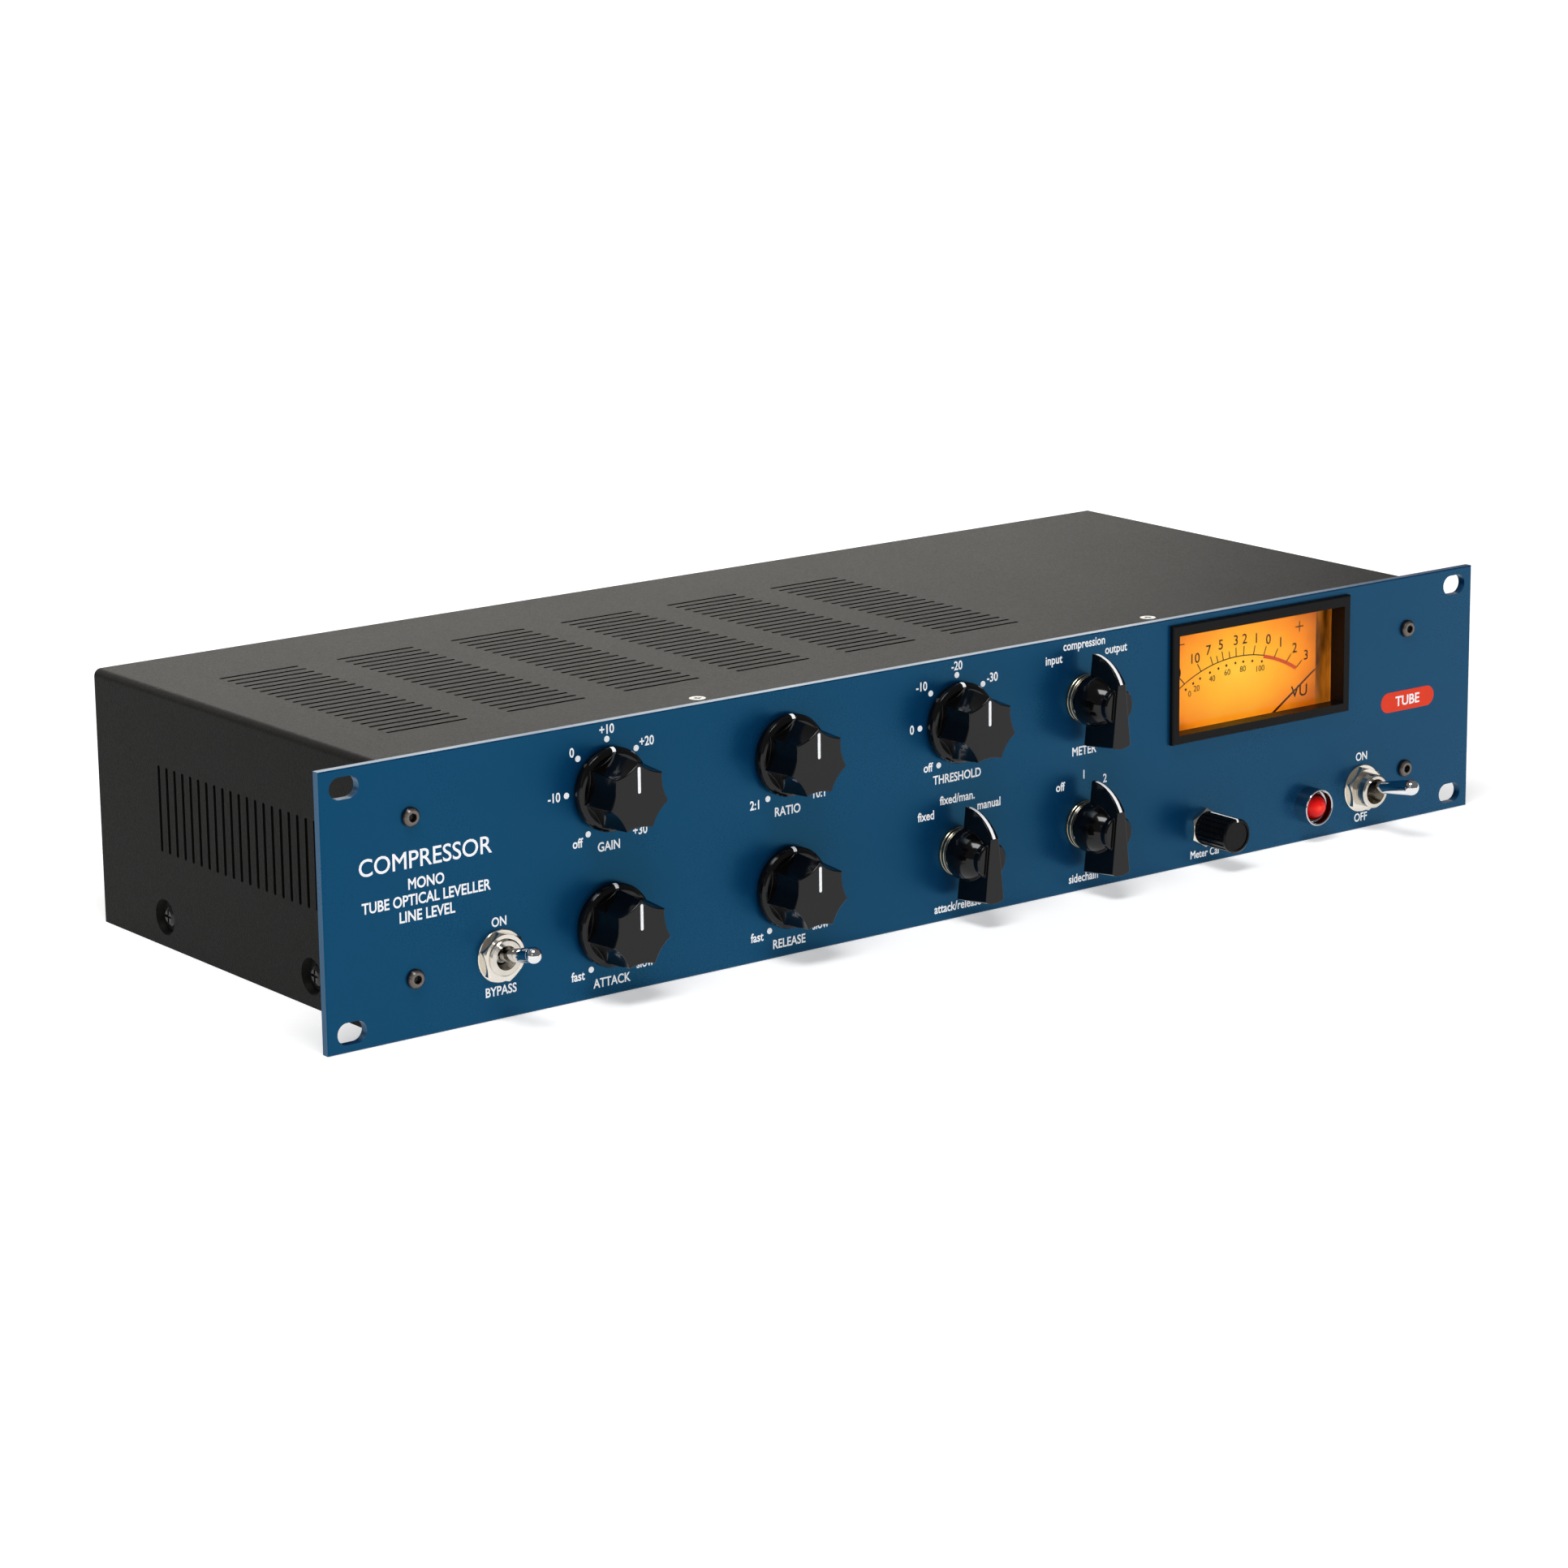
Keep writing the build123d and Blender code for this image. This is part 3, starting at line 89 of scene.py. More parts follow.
LINE_REACH = (1.4, 9.9)    # paint line in a fluted knob's groove
LINE_WIDTH = 1.1
SKIRT_MARK_WIDTH = 1.25
RIDGE_LINE_WIDTH = 1.15
CAL_LINE_WIDTH = 0.75
PAINT = 0.05               # thickness of the paint lines on curved faces
GROOVE_DEPTH = 0.25
SKIRT_PROFILE = ((12.3, 4.02), (12.5, 3.95), (12.9, 3.73), (13.15, 3.5), (13.4, 3.0), (13.5, 2.7),
                 (13.5, 2.2))      # radius and height, from the flutes out to the rim
SELECTOR_BASE = 5.2
RIDGE = ((15.95, 0.6), (13.35, 8.75), (7.6, 13.75))      # reach and height on the pointer, tip to hub

DIAL_RADIUS = 53.0         # the scale's arc, flatter than the needle's own path
DIAL_APEX = 31.75          # from the needle's pivot up to the arc
ARC_START = -50
TICK_LENGTH = 3.3
ZERO_TURN = 21.6
# Needle turn in degrees and figure of each mark
VU_MARKS = ((-44.3, "20"), (-31.0, "10"), (-21.3, "7"), (-17.0, ""), (-12.5, "5"), (-7.2, ""), (-1.8, "3"),
            (4.5, "2"), (12.9, "1"), (ZERO_TURN, "0"), (30.5, "1"), (40.8, "2"), (49.3, "3"))
PERCENT_MARKS = ((-46.1, "0"), (-39.8, "20"), (-33.9, ""), (-25.3, "40"), (-17.8, ""), (-10.7, "60"),
                 (-2.5, ""), (4.7, "80"), (12.9, ""), (ZERO_TURN, "100"))
MINUS_PLACE = (112.4, 31.4)
PLUS_PLACE = (167.8, 30.2)
UNIT_PLACE = (168.2, 7.1)
CARD_GLOW_HEIGHT = 19      # where the lit card is brightest
CARD_GLOW_REACH = (42.5, 26)            # from there to its deepest orange, across and up
COVER_WALL = 1.2           # lit edges of the meter's cover
COVER_TOP = 0.5

LAMP_GLOW_OFFSET = 0.8     # the lens is hottest a little left of its middle
LAMP_GLOW_REACH = 5.8
GETTER_EDGES = (14, 10)    # below a tube's top, where its flash fades in

BYPASS_WORDS = (("ON", -12.8), ("BYPASS", -34.8))       # word and height
POWER_WORDS = (("ON", -17.7), ("OFF", -39.8))
REAR_WORDS = (("xlr_input", "INPUT", 20), ("xlr_output", "OUTPUT", 20), ("iec_inlet", "POWER", 21))
JACK_WORDS = (("REMOTE", -27), ("SIDECHAIN", 0), ("LINK", 27))
JACK_DROP = 13.5

# ---------------------------------------------------------------- camera and stage, in metres and degrees
CAMERA_AIM = (-0.0656, 0, 0.0121)
CAMERA_TURN = (37.23, 13.88, -0.7)      # azimuth, elevation and roll
CAMERA_DISTANCE = 1.5086
CAMERA_LENS = 108.1
FLOOR_REACH = 60.0
GLOW_CENTRE = (-0.3, -0.3)              # the floor glows less within GLOW_EDGES of this place
GLOW_EDGES = (0.4, 1.6)
GLOW = (0.45, 0.95)


def centre(node):
    """x and z of a node's middle, in millimetres."""
    low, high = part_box(node)
    return (low.x + high.x) / 2 / MM, (low.z + high.z) / 2 / MM


places = {name: centre(f"{name}_shaft") for name in KNOBS + SELECTORS}
places["meter_cal"] = centre("meter_cal_shaft")
panel_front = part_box("faceplate")[0].y / MM
rear_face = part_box("rear_panel")[1].y / MM
dial_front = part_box("meter_dial")[0].y / MM
knob_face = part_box("gain_knob")[0].y / MM
cal_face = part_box("meter_cal_knob")[0].y / MM
cal_radius = (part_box("meter_cal_knob")[1].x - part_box("meter_cal_knob")[0].x) / 2 / MM
needle_joint = next(j for j in frame["joints"] if j["name"] == "needle_swing")
pivot = (needle_joint["pos_m"][0] / MM, needle_joint["pos_m"][2] / MM)


# ---------------------------------------------------------------- material helpers
class Graph:
    """One material and short calls for adding its nodes."""

    def __init__(self, name):
        self.material = bpy.data.materials.new(name)
        self.material.use_nodes = True
        self.tree = self.material.node_tree
        self.shader = self.tree.nodes["Principled BSDF"]
        self.where = self.tree.nodes.new("ShaderNodeTexCoord").outputs["Object"]

    def add(self, kind, settings=None, **inputs):
        """A node with its settings, and inputs that are values or other nodes' outputs."""
        node = self.tree.nodes.new(kind)
        for key, value in (settings or {}).items():
            setattr(node, key, value)
        for key, value in inputs.items():
            self.put(node.inputs[key.replace("_", " ")], value)
        return node

    def put(self, socket, value):
        """Link an output, or set a plain value, on an input socket."""
        if isinstance(value, bpy.types.NodeSocket):
            self.tree.links.new(value, socket)
        elif hasattr(value, "__len__") and len(value) == 3 and len(socket.default_value) == 4:
            socket.default_value = (*value, 1)
        else:
            socket.default_value = value

    def set(self, **inputs):
        """Set inputs of the main shader."""
        for key, value in inputs.items():
            self.put(self.shader.inputs[key.replace("_", " ")], value)

    def noise(self, size_mm, detail=3.0, stretch=(1, 1, 1)):
        """Noise whose blotches are about size_mm across."""
        spread = self.add("ShaderNodeMapping", Vector=self.where)
        spread.inputs["Scale"].default_value = stretch
        return self.add("ShaderNodeTexNoise", Vector=spread.outputs[0], Scale=1 / (size_mm * MM),
                        Detail=detail, Roughness=0.6).outputs["Fac"]

    def ramp(self, value, *stops):
        """Colour ramp from (position, colour) stops."""
        node = self.add("ShaderNodeValToRGB", Fac=value)
        elements = node.color_ramp.elements
        while len(elements) < len(stops):
            elements.new(0.5)
        for element, (position, colour) in zip(elements, stops):
            element.position = position
            element.color = (*colour, 1)
        return node.outputs["Color"]

    def span(self, value, low, high, start=0.3, end=0.7):
        """Map a value from start..end to low..high."""
        return self.add("ShaderNodeMapRange", Value=value, From_Min=start, From_Max=end, To_Min=low,
                        To_Max=high).outputs["Result"]

    def maths(self, operation, a, b=0.0):
        """One maths node."""
        node = self.tree.nodes.new("ShaderNodeMath")
        node.operation = operation
        self.put(node.inputs[0], a)
        self.put(node.inputs[1], b)
        return node.outputs[0]

    def length(self, a, b):
        """Length of a flat vector from its two parts."""
        squares = [self.maths("MULTIPLY", part, part) for part in (a, b)]
        return self.maths("SQRT", self.maths("ADD", *squares))

    def mix(self, share, a, b):
        """Blend of two colours."""
        node = self.add("ShaderNodeMix", {"data_type": "RGBA"})
        self.put(node.inputs[0], share)
        self.put(node.inputs[6], a)
        self.put(node.inputs[7], b)
        return node.outputs[2]

    def axes(self):
        """x, y and z of the surface point."""
        return self.add("ShaderNodeSeparateXYZ", Vector=self.where).outputs

    def bump(self, height, depth_mm, strength=1.0, edge_mm=0.0):
        """Bump of a real depth on the main shader, over edges softened by a small radius if one is given."""
        node = self.add("ShaderNodeBump", Strength=strength, Distance=depth_mm * MM, Height=height)
        if edge_mm:
            softened = self.add("ShaderNodeBevel", {"samples": 6}, Radius=edge_mm * MM)
            self.put(node.inputs["Normal"], softened.outputs[0])
        self.put(self.shader.inputs["Normal"], node.outputs[0])


def tone(colour, factor):
    """A colour made lighter or darker."""
    return tuple(min(1.0, c * factor) for c in colour)


def surface(name, colour, rough, metal=0.0, vary=0.12, grain=0.5, depth=0.01, smudge=25.0,
            stretch=(1, 1, 1), specular=0.5, sway=1.0, edge=0.0):
    """Everyday surface: grain with bump, slow colour drift, and handling marks in the roughness.

    vary is the contrast of the grain, sway the drift's share of it, and edge a softening radius.
    """
    g = Graph(name)
    grain_noise = g.noise(grain, 4.0, stretch)
    slow = g.noise(smudge, 3.0)
    drift = g.mix(g.span(slow, 0, 1), tone(colour, 1 - sway * vary), tone(colour, 1 + sway * vary))
    speck = g.mix(g.span(grain_noise, 0, 0.5), drift, tone(colour, 1 - 1.5 * vary))
    worn = 0.15 * sway * rough
    marks = g.maths("ADD", g.span(slow, -worn, worn), g.span(grain_noise, -0.1 * rough, 0.1 * rough))
    g.set(Base_Color=speck, Roughness=g.maths("ADD", marks, rough), Metallic=metal,
          Specular_IOR_Level=specular)
    g.bump(grain_noise, depth, edge_mm=edge)
    return g


def turned_metal(name, colour, rough, axis="y", pitch=0.12):
    """Bright metal with fine tool rings along one axis and a faint tarnish."""
    g = surface(name, colour, rough, metal=1.0, vary=0.06, grain=0.8, depth=0.002, smudge=6.0)
    along = g.axes()["XYZ".index(axis.upper())]
    rings = g.maths("SINE", g.maths("MULTIPLY", along, 2 * math.pi / (pitch * MM)))
    g.bump(rings, 0.0015, 0.6)
    return g


# ---------------------------------------------------------------- materials
def panel_blue():
    """Deep blue satin coat whose sheen is blue too, slightly uneven."""
    g = surface("panel_blue", (0.0013, 0.037, 0.109), 0.3, vary=0.025, grain=0.35, depth=0.005, smudge=60,
                specular=0.8)
    g.set(Specular_Tint=(0.05, 0.58, 1.0))
    return g


def case_grey():
    """Fine pebbled powder coat on the steel cover."""
    return surface("case_grey", (0.0072, 0.0070, 0.0061), 0.45, vary=0.6, grain=0.55, depth=0.10, smudge=90,
                   specular=0.058, sway=0.12)


def gloss_black():
    """Polished phenolic with hair-fine polishing marks."""
    return surface("gloss_black", (0.0018, 0.0018, 0.0020), 0.11, vary=0.2, grain=2.5, depth=0.004, smudge=9,
                   specular=0.34, edge=0.35)


def socket_black():
    """Black socket screws with a painted highlight, a dull grey ring on each face; flanks and sockets left dark.
    """
    g = surface("black_socket_screw", (0.02, 0.019, 0.018), 0.25, metal=0.6, grain=0.3, depth=0.004,
                specular=0.4)
    low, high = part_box("faceplate_screws")
    x, y, z = g.axes()
    offsets = []
    for value, near, far in ((x, low.x, high.x), (z, low.z, high.z)):
        reach = (far - near) / 2 - PLATE_SCREW_HEAD * MM
        folded = g.maths("ABSOLUTE", g.maths("SUBTRACT", value, (near + far) / 2))
        offsets.append(g.maths("SUBTRACT", folded, reach))
    share = g.maths("DIVIDE", g.length(*offsets), PLATE_SCREW_HEAD * MM)
    # painted highlight: a dull grey ring across each head's face, dark at its socket and its flank
    rim_highlight = g.ramp(g.maths("ADD", share, g.span(g.noise(0.4), -0.03, 0.03)), (0.0, (0.012, 0.011, 0.010)),
                    (0.42, (0.014, 0.013, 0.012)), (0.5, (0.19, 0.165, 0.15)), (0.84, (0.13, 0.115, 0.105)),
                    (0.93, (0.012, 0.012, 0.014)))
    g.set(Base_Color=rim_highlight)
    return g


def threaded_bushing():
    """Plated bushing in front of the plate, dark moulded body behind it."""
    g = Graph("threaded_bushing")
    y = g.axes()[1]
    proud = g.maths("LESS_THAN", y, (panel_front + 1.0) * MM)
    worn = g.noise(4.0)
    plated = g.mix(g.span(worn, 0, 1), (0.60, 0.55, 0.48), (0.74, 0.70, 0.63))
    thread = g.maths("SINE", g.maths("MULTIPLY", y, 2 * math.pi / (0.7 * MM)))
    g.set(Base_Color=g.mix(proud, (0.02, 0.02, 0.022), plated), Metallic=proud,
          Roughness=g.span(worn, 0.14, 0.24))
    g.bump(thread, 0.03, 0.35)
    return g


def dial_card():
    """Printed card lit from behind: bright in the middle, deeper orange to its edges."""
    g = Graph("dial_card")
    x, y, z = g.axes()
    across = g.maths("DIVIDE", g.maths("SUBTRACT", x, pivot[0] * MM), CARD_GLOW_REACH[0] * MM)
    up = g.maths("DIVIDE", g.maths("SUBTRACT", z, CARD_GLOW_HEIGHT * MM), CARD_GLOW_REACH[1] * MM)
    cloud = g.maths("ADD", g.length(across, up), g.span(g.noise(9.0), -0.05, 0.05))
    glow = g.ramp(cloud, (0.0, (1.0, 0.60, 0.045)), (0.4, (1.0, 0.46, 0.022)), (0.75, (0.95, 0.27, 0.010)),
                  (1.0, (0.45, 0.09, 0.003)))
    fibre = g.noise(0.25)
    g.set(Base_Color=(0.20, 0.07, 0.004), Roughness=0.7, Specular_IOR_Level=0.05, Emission_Color=glow,
          Emission_Strength=0.97)
    g.bump(fibre, 0.005)
    return g


def lamp_red():
    """Glowing red lens: hot near its middle, deep red to the rim."""
    g = Graph("lamp_red")
    x, y, z = g.axes()
    low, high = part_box("lamp_jewel")
    dx = g.maths("SUBTRACT", x, (low.x + high.x) / 2 - LAMP_GLOW_OFFSET * MM)
    dz = g.maths("MULTIPLY", g.maths("SUBTRACT", z, (low.z + high.z) / 2), 1.35)
    share = g.maths("DIVIDE", g.length(dx, dz), LAMP_GLOW_REACH * MM)
    swirl = g.maths("ADD", share, g.span(g.noise(2.0), -0.06, 0.06))
    glow = g.ramp(swirl, (0.0, (1.0, 0.075, 0.035)), (0.3, (0.86, 0.016, 0.012)),
                  (0.62, (0.45, 0.003, 0.004)), (0.95, (0.02, 0.0, 0.0)))
    g.set(Base_Color=(0.05, 0.0005, 0.0005), Roughness=0.08, Emission_Color=glow, Emission_Strength=0.95,
          Specular_IOR_Level=0.16)
    g.bump(g.noise(1.2), 0.01)
    return g


def clear_plastic(name, tint, rough=0.03):
    """Clear moulding with faint ripples."""
    g = Graph(name)
    g.set(Base_Color=tint, Roughness=rough, IOR=1.49, Transmission_Weight=1.0)
    g.bump(g.noise(14.0, 1.0), 0.01, 0.3)
    return g


def meter_glass():
    """Clear meter cover whose right and top walls pick up the dial's amber light."""
    g = clear_plastic("meter_glass", (0.99, 0.96, 0.90))
    x, y, z = g.axes()
    low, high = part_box("meter_window")
    right = g.maths("GREATER_THAN", x, high.x - COVER_WALL * MM)
    top = g.maths("GREATER_THAN", z, high.z - COVER_TOP * MM)
    edge = g.maths("MAXIMUM", right, top)
    glow = g.maths("MULTIPLY", edge, g.span(g.noise(5.0, 2.0, (1, 1, 0.3)), 0.01, 0.16, 0.35, 0.6))
    g.set(IOR=1.18, Emission_Color=(1.0, 0.30, 0.02), Emission_Strength=glow)
    return g


def solder_mask():
    """Green board with copper tracks showing through."""
    g = Graph("solder_mask")
    cells = g.add("ShaderNodeTexVoronoi", {"feature": "DISTANCE_TO_EDGE", "distance": "MANHATTAN"},
                  Vector=g.where, Scale=1 / (6 * MM)).outputs["Distance"]
    track = g.maths("LESS_THAN", cells, 0.09)
    g.set(Base_Color=g.mix(track, (0.006, 0.05, 0.02), (0.02, 0.13, 0.05)),
          Roughness=g.span(g.noise(3), 0.25, 0.4))
    g.bump(track, 0.03)
    return g


def toroid_tape():
    """Yellow film tape wound round the transformer, with wire ridges under it."""
    g = Graph("toroid_tape")
    x, y, z = g.axes()
    low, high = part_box("power_transformer")
    dx = g.maths("SUBTRACT", x, (low.x + high.x) / 2)
    dy = g.maths("SUBTRACT", y, (low.y + high.y) / 2)
    angle = g.maths("ARCTAN2", dy, dx)
    ridges = g.maths("SINE", g.maths("MULTIPLY", angle, 150.0))
    g.set(Base_Color=g.mix(g.span(ridges, 0, 1, -1, 1), (0.42, 0.22, 0.03), (0.6, 0.36, 0.07)),
          Roughness=g.span(g.noise(5), 0.25, 0.45), Coat_Weight=0.4)
    g.bump(ridges, 0.15)
    return g


def tube_envelope():
    """Thin glass with a silvery getter flash at its top."""
    g = clear_plastic("tube_envelope", (0.93, 0.95, 0.96), 0.02)
    x, y, z = g.axes()
    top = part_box("vacuum_tubes")[1].z
    height = g.maths("ADD", z, g.span(g.noise(6), -1.5 * MM, 1.5 * MM))
    flash = g.span(height, 0, 1, *(top - edge * MM for edge in GETTER_EDGES))
    g.set(Metallic=flash, Base_Color=g.mix(flash, (0.93, 0.95, 0.96), (0.25, 0.26, 0.3)),
          Transmission_Weight=g.maths("SUBTRACT", 1.0, flash))
    return g


def make_materials():
    """Every material by the record's slot name."""
    return {
        "panel_blue": panel_blue(),
        "case_grey": case_grey(),
        "plain_steel": surface("plain_steel", (0.46, 0.46, 0.45), 0.34, metal=1.0, grain=1.2, depth=0.004,
                               stretch=(1, 9, 1)),
        "black_screw": surface("black_oxide", (0.035, 0.034, 0.033), 0.24, metal=0.7, grain=0.3, depth=0.006,
                               specular=0.4),
        "bright_screw": turned_metal("bright_zinc", (0.40, 0.40, 0.39), 0.3),
        "black_knob": gloss_black(),
        "cal_knob": surface("satin_black", (0.003, 0.003, 0.003), 0.26, vary=0.2, grain=0.25, depth=0.01,
                            smudge=4, specular=0.17),
        "shaft_metal": turned_metal("turned_aluminium", (0.66, 0.66, 0.66), 0.3),
        "control_can": turned_metal("plated_can", (0.5, 0.49, 0.45), 0.3, pitch=0.6),
        "nut_nickel": turned_metal("bright_nickel", (0.78, 0.73, 0.65), 0.16, pitch=0.25),
        "switch_body": threaded_bushing(),
        "lever_chrome": surface("polished_chrome", (0.80, 0.80, 0.80), 0.06, metal=1.0, vary=0.03, grain=3,
                                depth=0.001, smudge=5),
        "lamp_chrome": surface("lamp_chrome", (0.55, 0.55, 0.57), 0.09, metal=1.0, vary=0.03, grain=3,
                               depth=0.001, smudge=5),
        "jewel_red": lamp_red(),
        "black_plastic": surface("black_moulding", (0.004, 0.004, 0.004), 0.4, vary=0.25, grain=0.3,
                                 depth=0.015, smudge=12, specular=0.13),
        "meter_glass": meter_glass(),
        "dial_card": dial_card(),
        "needle_metal": surface("needle_paint", (0.07, 0.012, 0.008), 0.4, grain=0.3, depth=0.002),
        "magnet_metal": surface("magnet_metal", (0.09, 0.09, 0.09), 0.5, metal=0.8, grain=0.8, depth=0.02),
        "board_green": solder_mask(),
        "standoff_metal": turned_metal("standoff_plate", (0.6, 0.58, 0.5), 0.25, "z"),
        "tube_glass": tube_envelope(),
        "socket_ceramic": surface("socket_ceramic", (0.7, 0.68, 0.6), 0.55, grain=0.4, depth=0.02),
        "capacitor_sleeve": surface("capacitor_sleeve", (0.01, 0.02, 0.08), 0.25, grain=5, depth=0.05),
        "transformer_can": surface("lamination_varnish", (0.03, 0.022, 0.015), 0.35, metal=0.4, grain=0.7,
                                   depth=0.08, stretch=(0.1, 1, 0.1)),
        "toroid_wrap": toroid_tape(),
        "connector_metal": surface("satin_nickel", (0.42, 0.42, 0.44), 0.32, metal=1.0, grain=0.35,
                                   depth=0.01),
        "connector_black": surface("black_nylon", (0.012, 0.012, 0.013), 0.45, grain=0.4, depth=0.02,
                                   smudge=8),
    }


# ---------------------------------------------------------------- geometry helpers
def piece(name, mesh, body, graph, smooth=None):
    """Link a finished mesh as a piece that rides on a body."""
    mesh.materials.clear()
    mesh.materials.append(graph.material)
    if smooth:
        mesh.shade_smooth()
        mesh.set_sharp_from_angle(angle=math.radians(smooth))
    thing = bpy.data.objects.new(name, mesh)
    bpy.context.scene.collection.objects.link(thing)
    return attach(thing, body)


def on_front(x, z, depth):
    """Matrix that lays a flat shape on a plane facing the front: its x to the right and its y up."""
    turn = Matrix(((1, 0, 0), (0, 0, -1), (0, 1, 0))).to_4x4()
    return Matrix.Translation(Vector((x, depth, z)) * MM) @ turn


def on_back(x, z, depth):
    """The same, facing the rear."""
    turn = Matrix(((-1, 0, 0), (0, 0, 1), (0, 1, 0))).to_4x4()
    return Matrix.Translation(Vector((x, depth, z)) * MM) @ turn


class Print:
    """Flat shapes gathered into one thin raised print."""

    def __init__(self, place, depth, thickness=INK):
        self.bm = bmesh.new()
        self.place = place
        self.depth = depth
        self.thickness = thickness

    def join(self, mesh, x, z, turn=0.0):
        """Add a mesh drawn flat in its own x and y, in millimetres."""
        spin = Matrix.Rotation(-math.radians(turn), 4, "Z")
        mesh.transform(self.place(x, z, self.depth) @ Matrix.Scale(MM, 4) @ spin)
        self.bm.from_mesh(mesh)
        bpy.data.meshes.remove(mesh)

    def outline(self, points, x=0.0, z=0.0, turn=0.0):
        """Add a filled outline given by its points."""
        made = bmesh.new()
        low, high = ([made.verts.new((px, py, level)) for px, py in points] for level in (0, self.thickness))
        made.faces.new(low[::-1])
        made.faces.new(high)
        join_rows(made, [low, high])
        self.join(closed_mesh("outline", made), x, z, turn)

    def dot(self, x, z, radius, sides=32):
        """A round dot."""
        ring = [2 * math.pi * k / sides for k in range(sides)]
        self.outline([(radius * math.cos(a), radius * math.sin(a)) for a in ring], x, z)

    def bar(self, x, z, width, height, turn=0.0):
        """A straight bar centred on a point."""
        w, h = width / 2, height / 2
        self.outline([(-w, -h), (w, -h), (w, h), (-w, h)], x, z, turn)

    def arc(self, x, z, radius, start, end, width):
        """A band along an arc, angles clockwise from upright."""
        steps = max(8, int(abs(end - start) / 1.5))
        turns = [math.radians(start + (end - start) * k / steps) for k in range(steps + 1)]
        outer, inner = ([(r * math.sin(a), r * math.cos(a)) for a in turns]
                        for r in (radius + width / 2, radius - width / 2))
        self.outline(outer + inner[::-1], x, z)

    def text(self, words, x, z, capital=CAPITAL, condense=LETTER_WIDTH, width=None, weight=LETTER_WEIGHT):
        """Lettering centred on a point; a stated width sets how far it is condensed."""
        curve = bpy.data.curves.new("lettering", "FONT")
        curve.body = words
        curve.size = capital / FONT_CAPITAL
        curve.bevel_depth = weight * curve.size
        curve.bevel_resolution = 1
        curve.extrude = self.thickness / 2
        curve.resolution_u = 4
        curve.align_x = "CENTER"
        holder = bpy.data.objects.new("lettering", curve)
        bpy.context.scene.collection.objects.link(holder)
        bpy.context.view_layer.update()
        if width:
            condense = width / holder.dimensions.x
        mesh = bpy.data.meshes.new_from_object(holder)
        bpy.data.objects.remove(holder)
        bpy.data.curves.remove(curve)
        half = max(v.co.z for v in mesh.vertices)
        flatten = Matrix.Diagonal((condense, 1, self.thickness / 2 / half, 1))
        mesh.transform(Matrix.Translation((0, -capital / 2, self.thickness / 2)) @ flatten)
        self.join(mesh, x, z)

    def finish(self, name, body, graph):
        """Make the print a piece."""
        mesh = bpy.data.meshes.new(name)
        bmesh.ops.remove_doubles(self.bm, verts=self.bm.verts, dist=1e-7)
        self.bm.to_mesh(mesh)
        self.bm.free()
        return piece(name, mesh, body, graph)


def join_rows(bm, rows):
    """Faces between each row of vertices and the next, where every row is a closed loop."""
    for a, b in zip(rows, rows[1:]):
        for k in range(len(a)):
            after = (k + 1) % len(a)
            bm.faces.new((a[k], a[after], b[after], b[k]))


def closed_mesh(name, bm):
    """The finished mesh, its faces all turned outwards."""
    bmesh.ops.recalc_face_normals(bm, faces=bm.faces)
    mesh = bpy.data.meshes.new(name)
    bm.to_mesh(mesh)
    bm.free()
    return mesh


def ribbon(name, path, width, body, graph):
    """A painted line along a path of (point, normal) pairs, with a slightly crowned top."""
    bm = bmesh.new()
    rows = []
    shape = ((-0.5, -1.0), (-0.5, 0.2), (-0.3, 0.75), (0.0, 1.0), (0.3, 0.75), (0.5, 0.2), (0.5, -1.0))
    for point, normal in path:
        middle, out = Vector(point), Vector(normal)
        rows.append([bm.verts.new((middle + Vector((s * width, 0, 0)) + out * t * PAINT) * MM)
                     for s, t in shape])
    join_rows(bm, rows)
    bm.faces.new(rows[0][::-1])
    bm.faces.new(rows[-1])
    return piece(name, closed_mesh(name, bm), body, graph, smooth=40)


def lathe(name, place, outline, body, graph, sides=96):
    """A ring turned from a closed outline of (radius, height above the plate) points."""
    x, z = place
    bm = bmesh.new()
    rows = []
    for k in range(sides):
        turn = 2 * math.pi * k / sides
        across, up = math.sin(turn), math.cos(turn)
        rows.append([bm.verts.new(Vector((x + r * across, panel_front - h, z + r * up)) * MM)
                     for r, h in outline])
    join_rows(bm, rows + rows[:1])
    return piece(name, closed_mesh(name, bm), body, graph, smooth=30)


def smooth_path(points, origin):
    """Turn (radius, height) points above the plate into ribbon points and outward normals."""
    path = []
    for k, (r, h) in enumerate(points):
        before, after = points[max(k - 1, 0)], points[min(k + 1, len(points) - 1)]
        along = Vector((after[0] - before[0], after[1] - before[1])).normalized()
        normal = (0, -abs(along.x), abs(along.y))
        path.append(((origin[0], panel_front - h, origin[1] + r), normal))
    return path


def arc_through(a, b, c, count):
    """Points along the arc through three points."""
    a, b, c = Vector(a), Vector(b), Vector(c)
    d = 2 * (a.x * (b.y - c.y) + b.x * (c.y - a.y) + c.x * (a.y - b.y))
    sa, sb, sc = a.length_squared, b.length_squared, c.length_squared
    mid = Vector(((sa * (b.y - c.y) + sb * (c.y - a.y) + sc * (a.y - b.y)) / d,
                  (sa * (c.x - b.x) + sb * (a.x - c.x) + sc * (b.x - a.x)) / d))
    radius = (a - mid).length
    first, last = (math.atan2((p - mid).y, (p - mid).x) for p in (a, c))
    turns = [first + (last - first) * k / (count - 1) for k in range(count)]
    return [(mid.x + radius * math.cos(t), mid.y + radius * math.sin(t)) for t in turns]


# ---------------------------------------------------------------- printed panel
def polar(place, turn, radius):
    """Point round a control, turn clockwise from upright."""
    return place[0] + radius * math.sin(math.radians(turn)), place[1] + radius * math.cos(math.radians(turn))


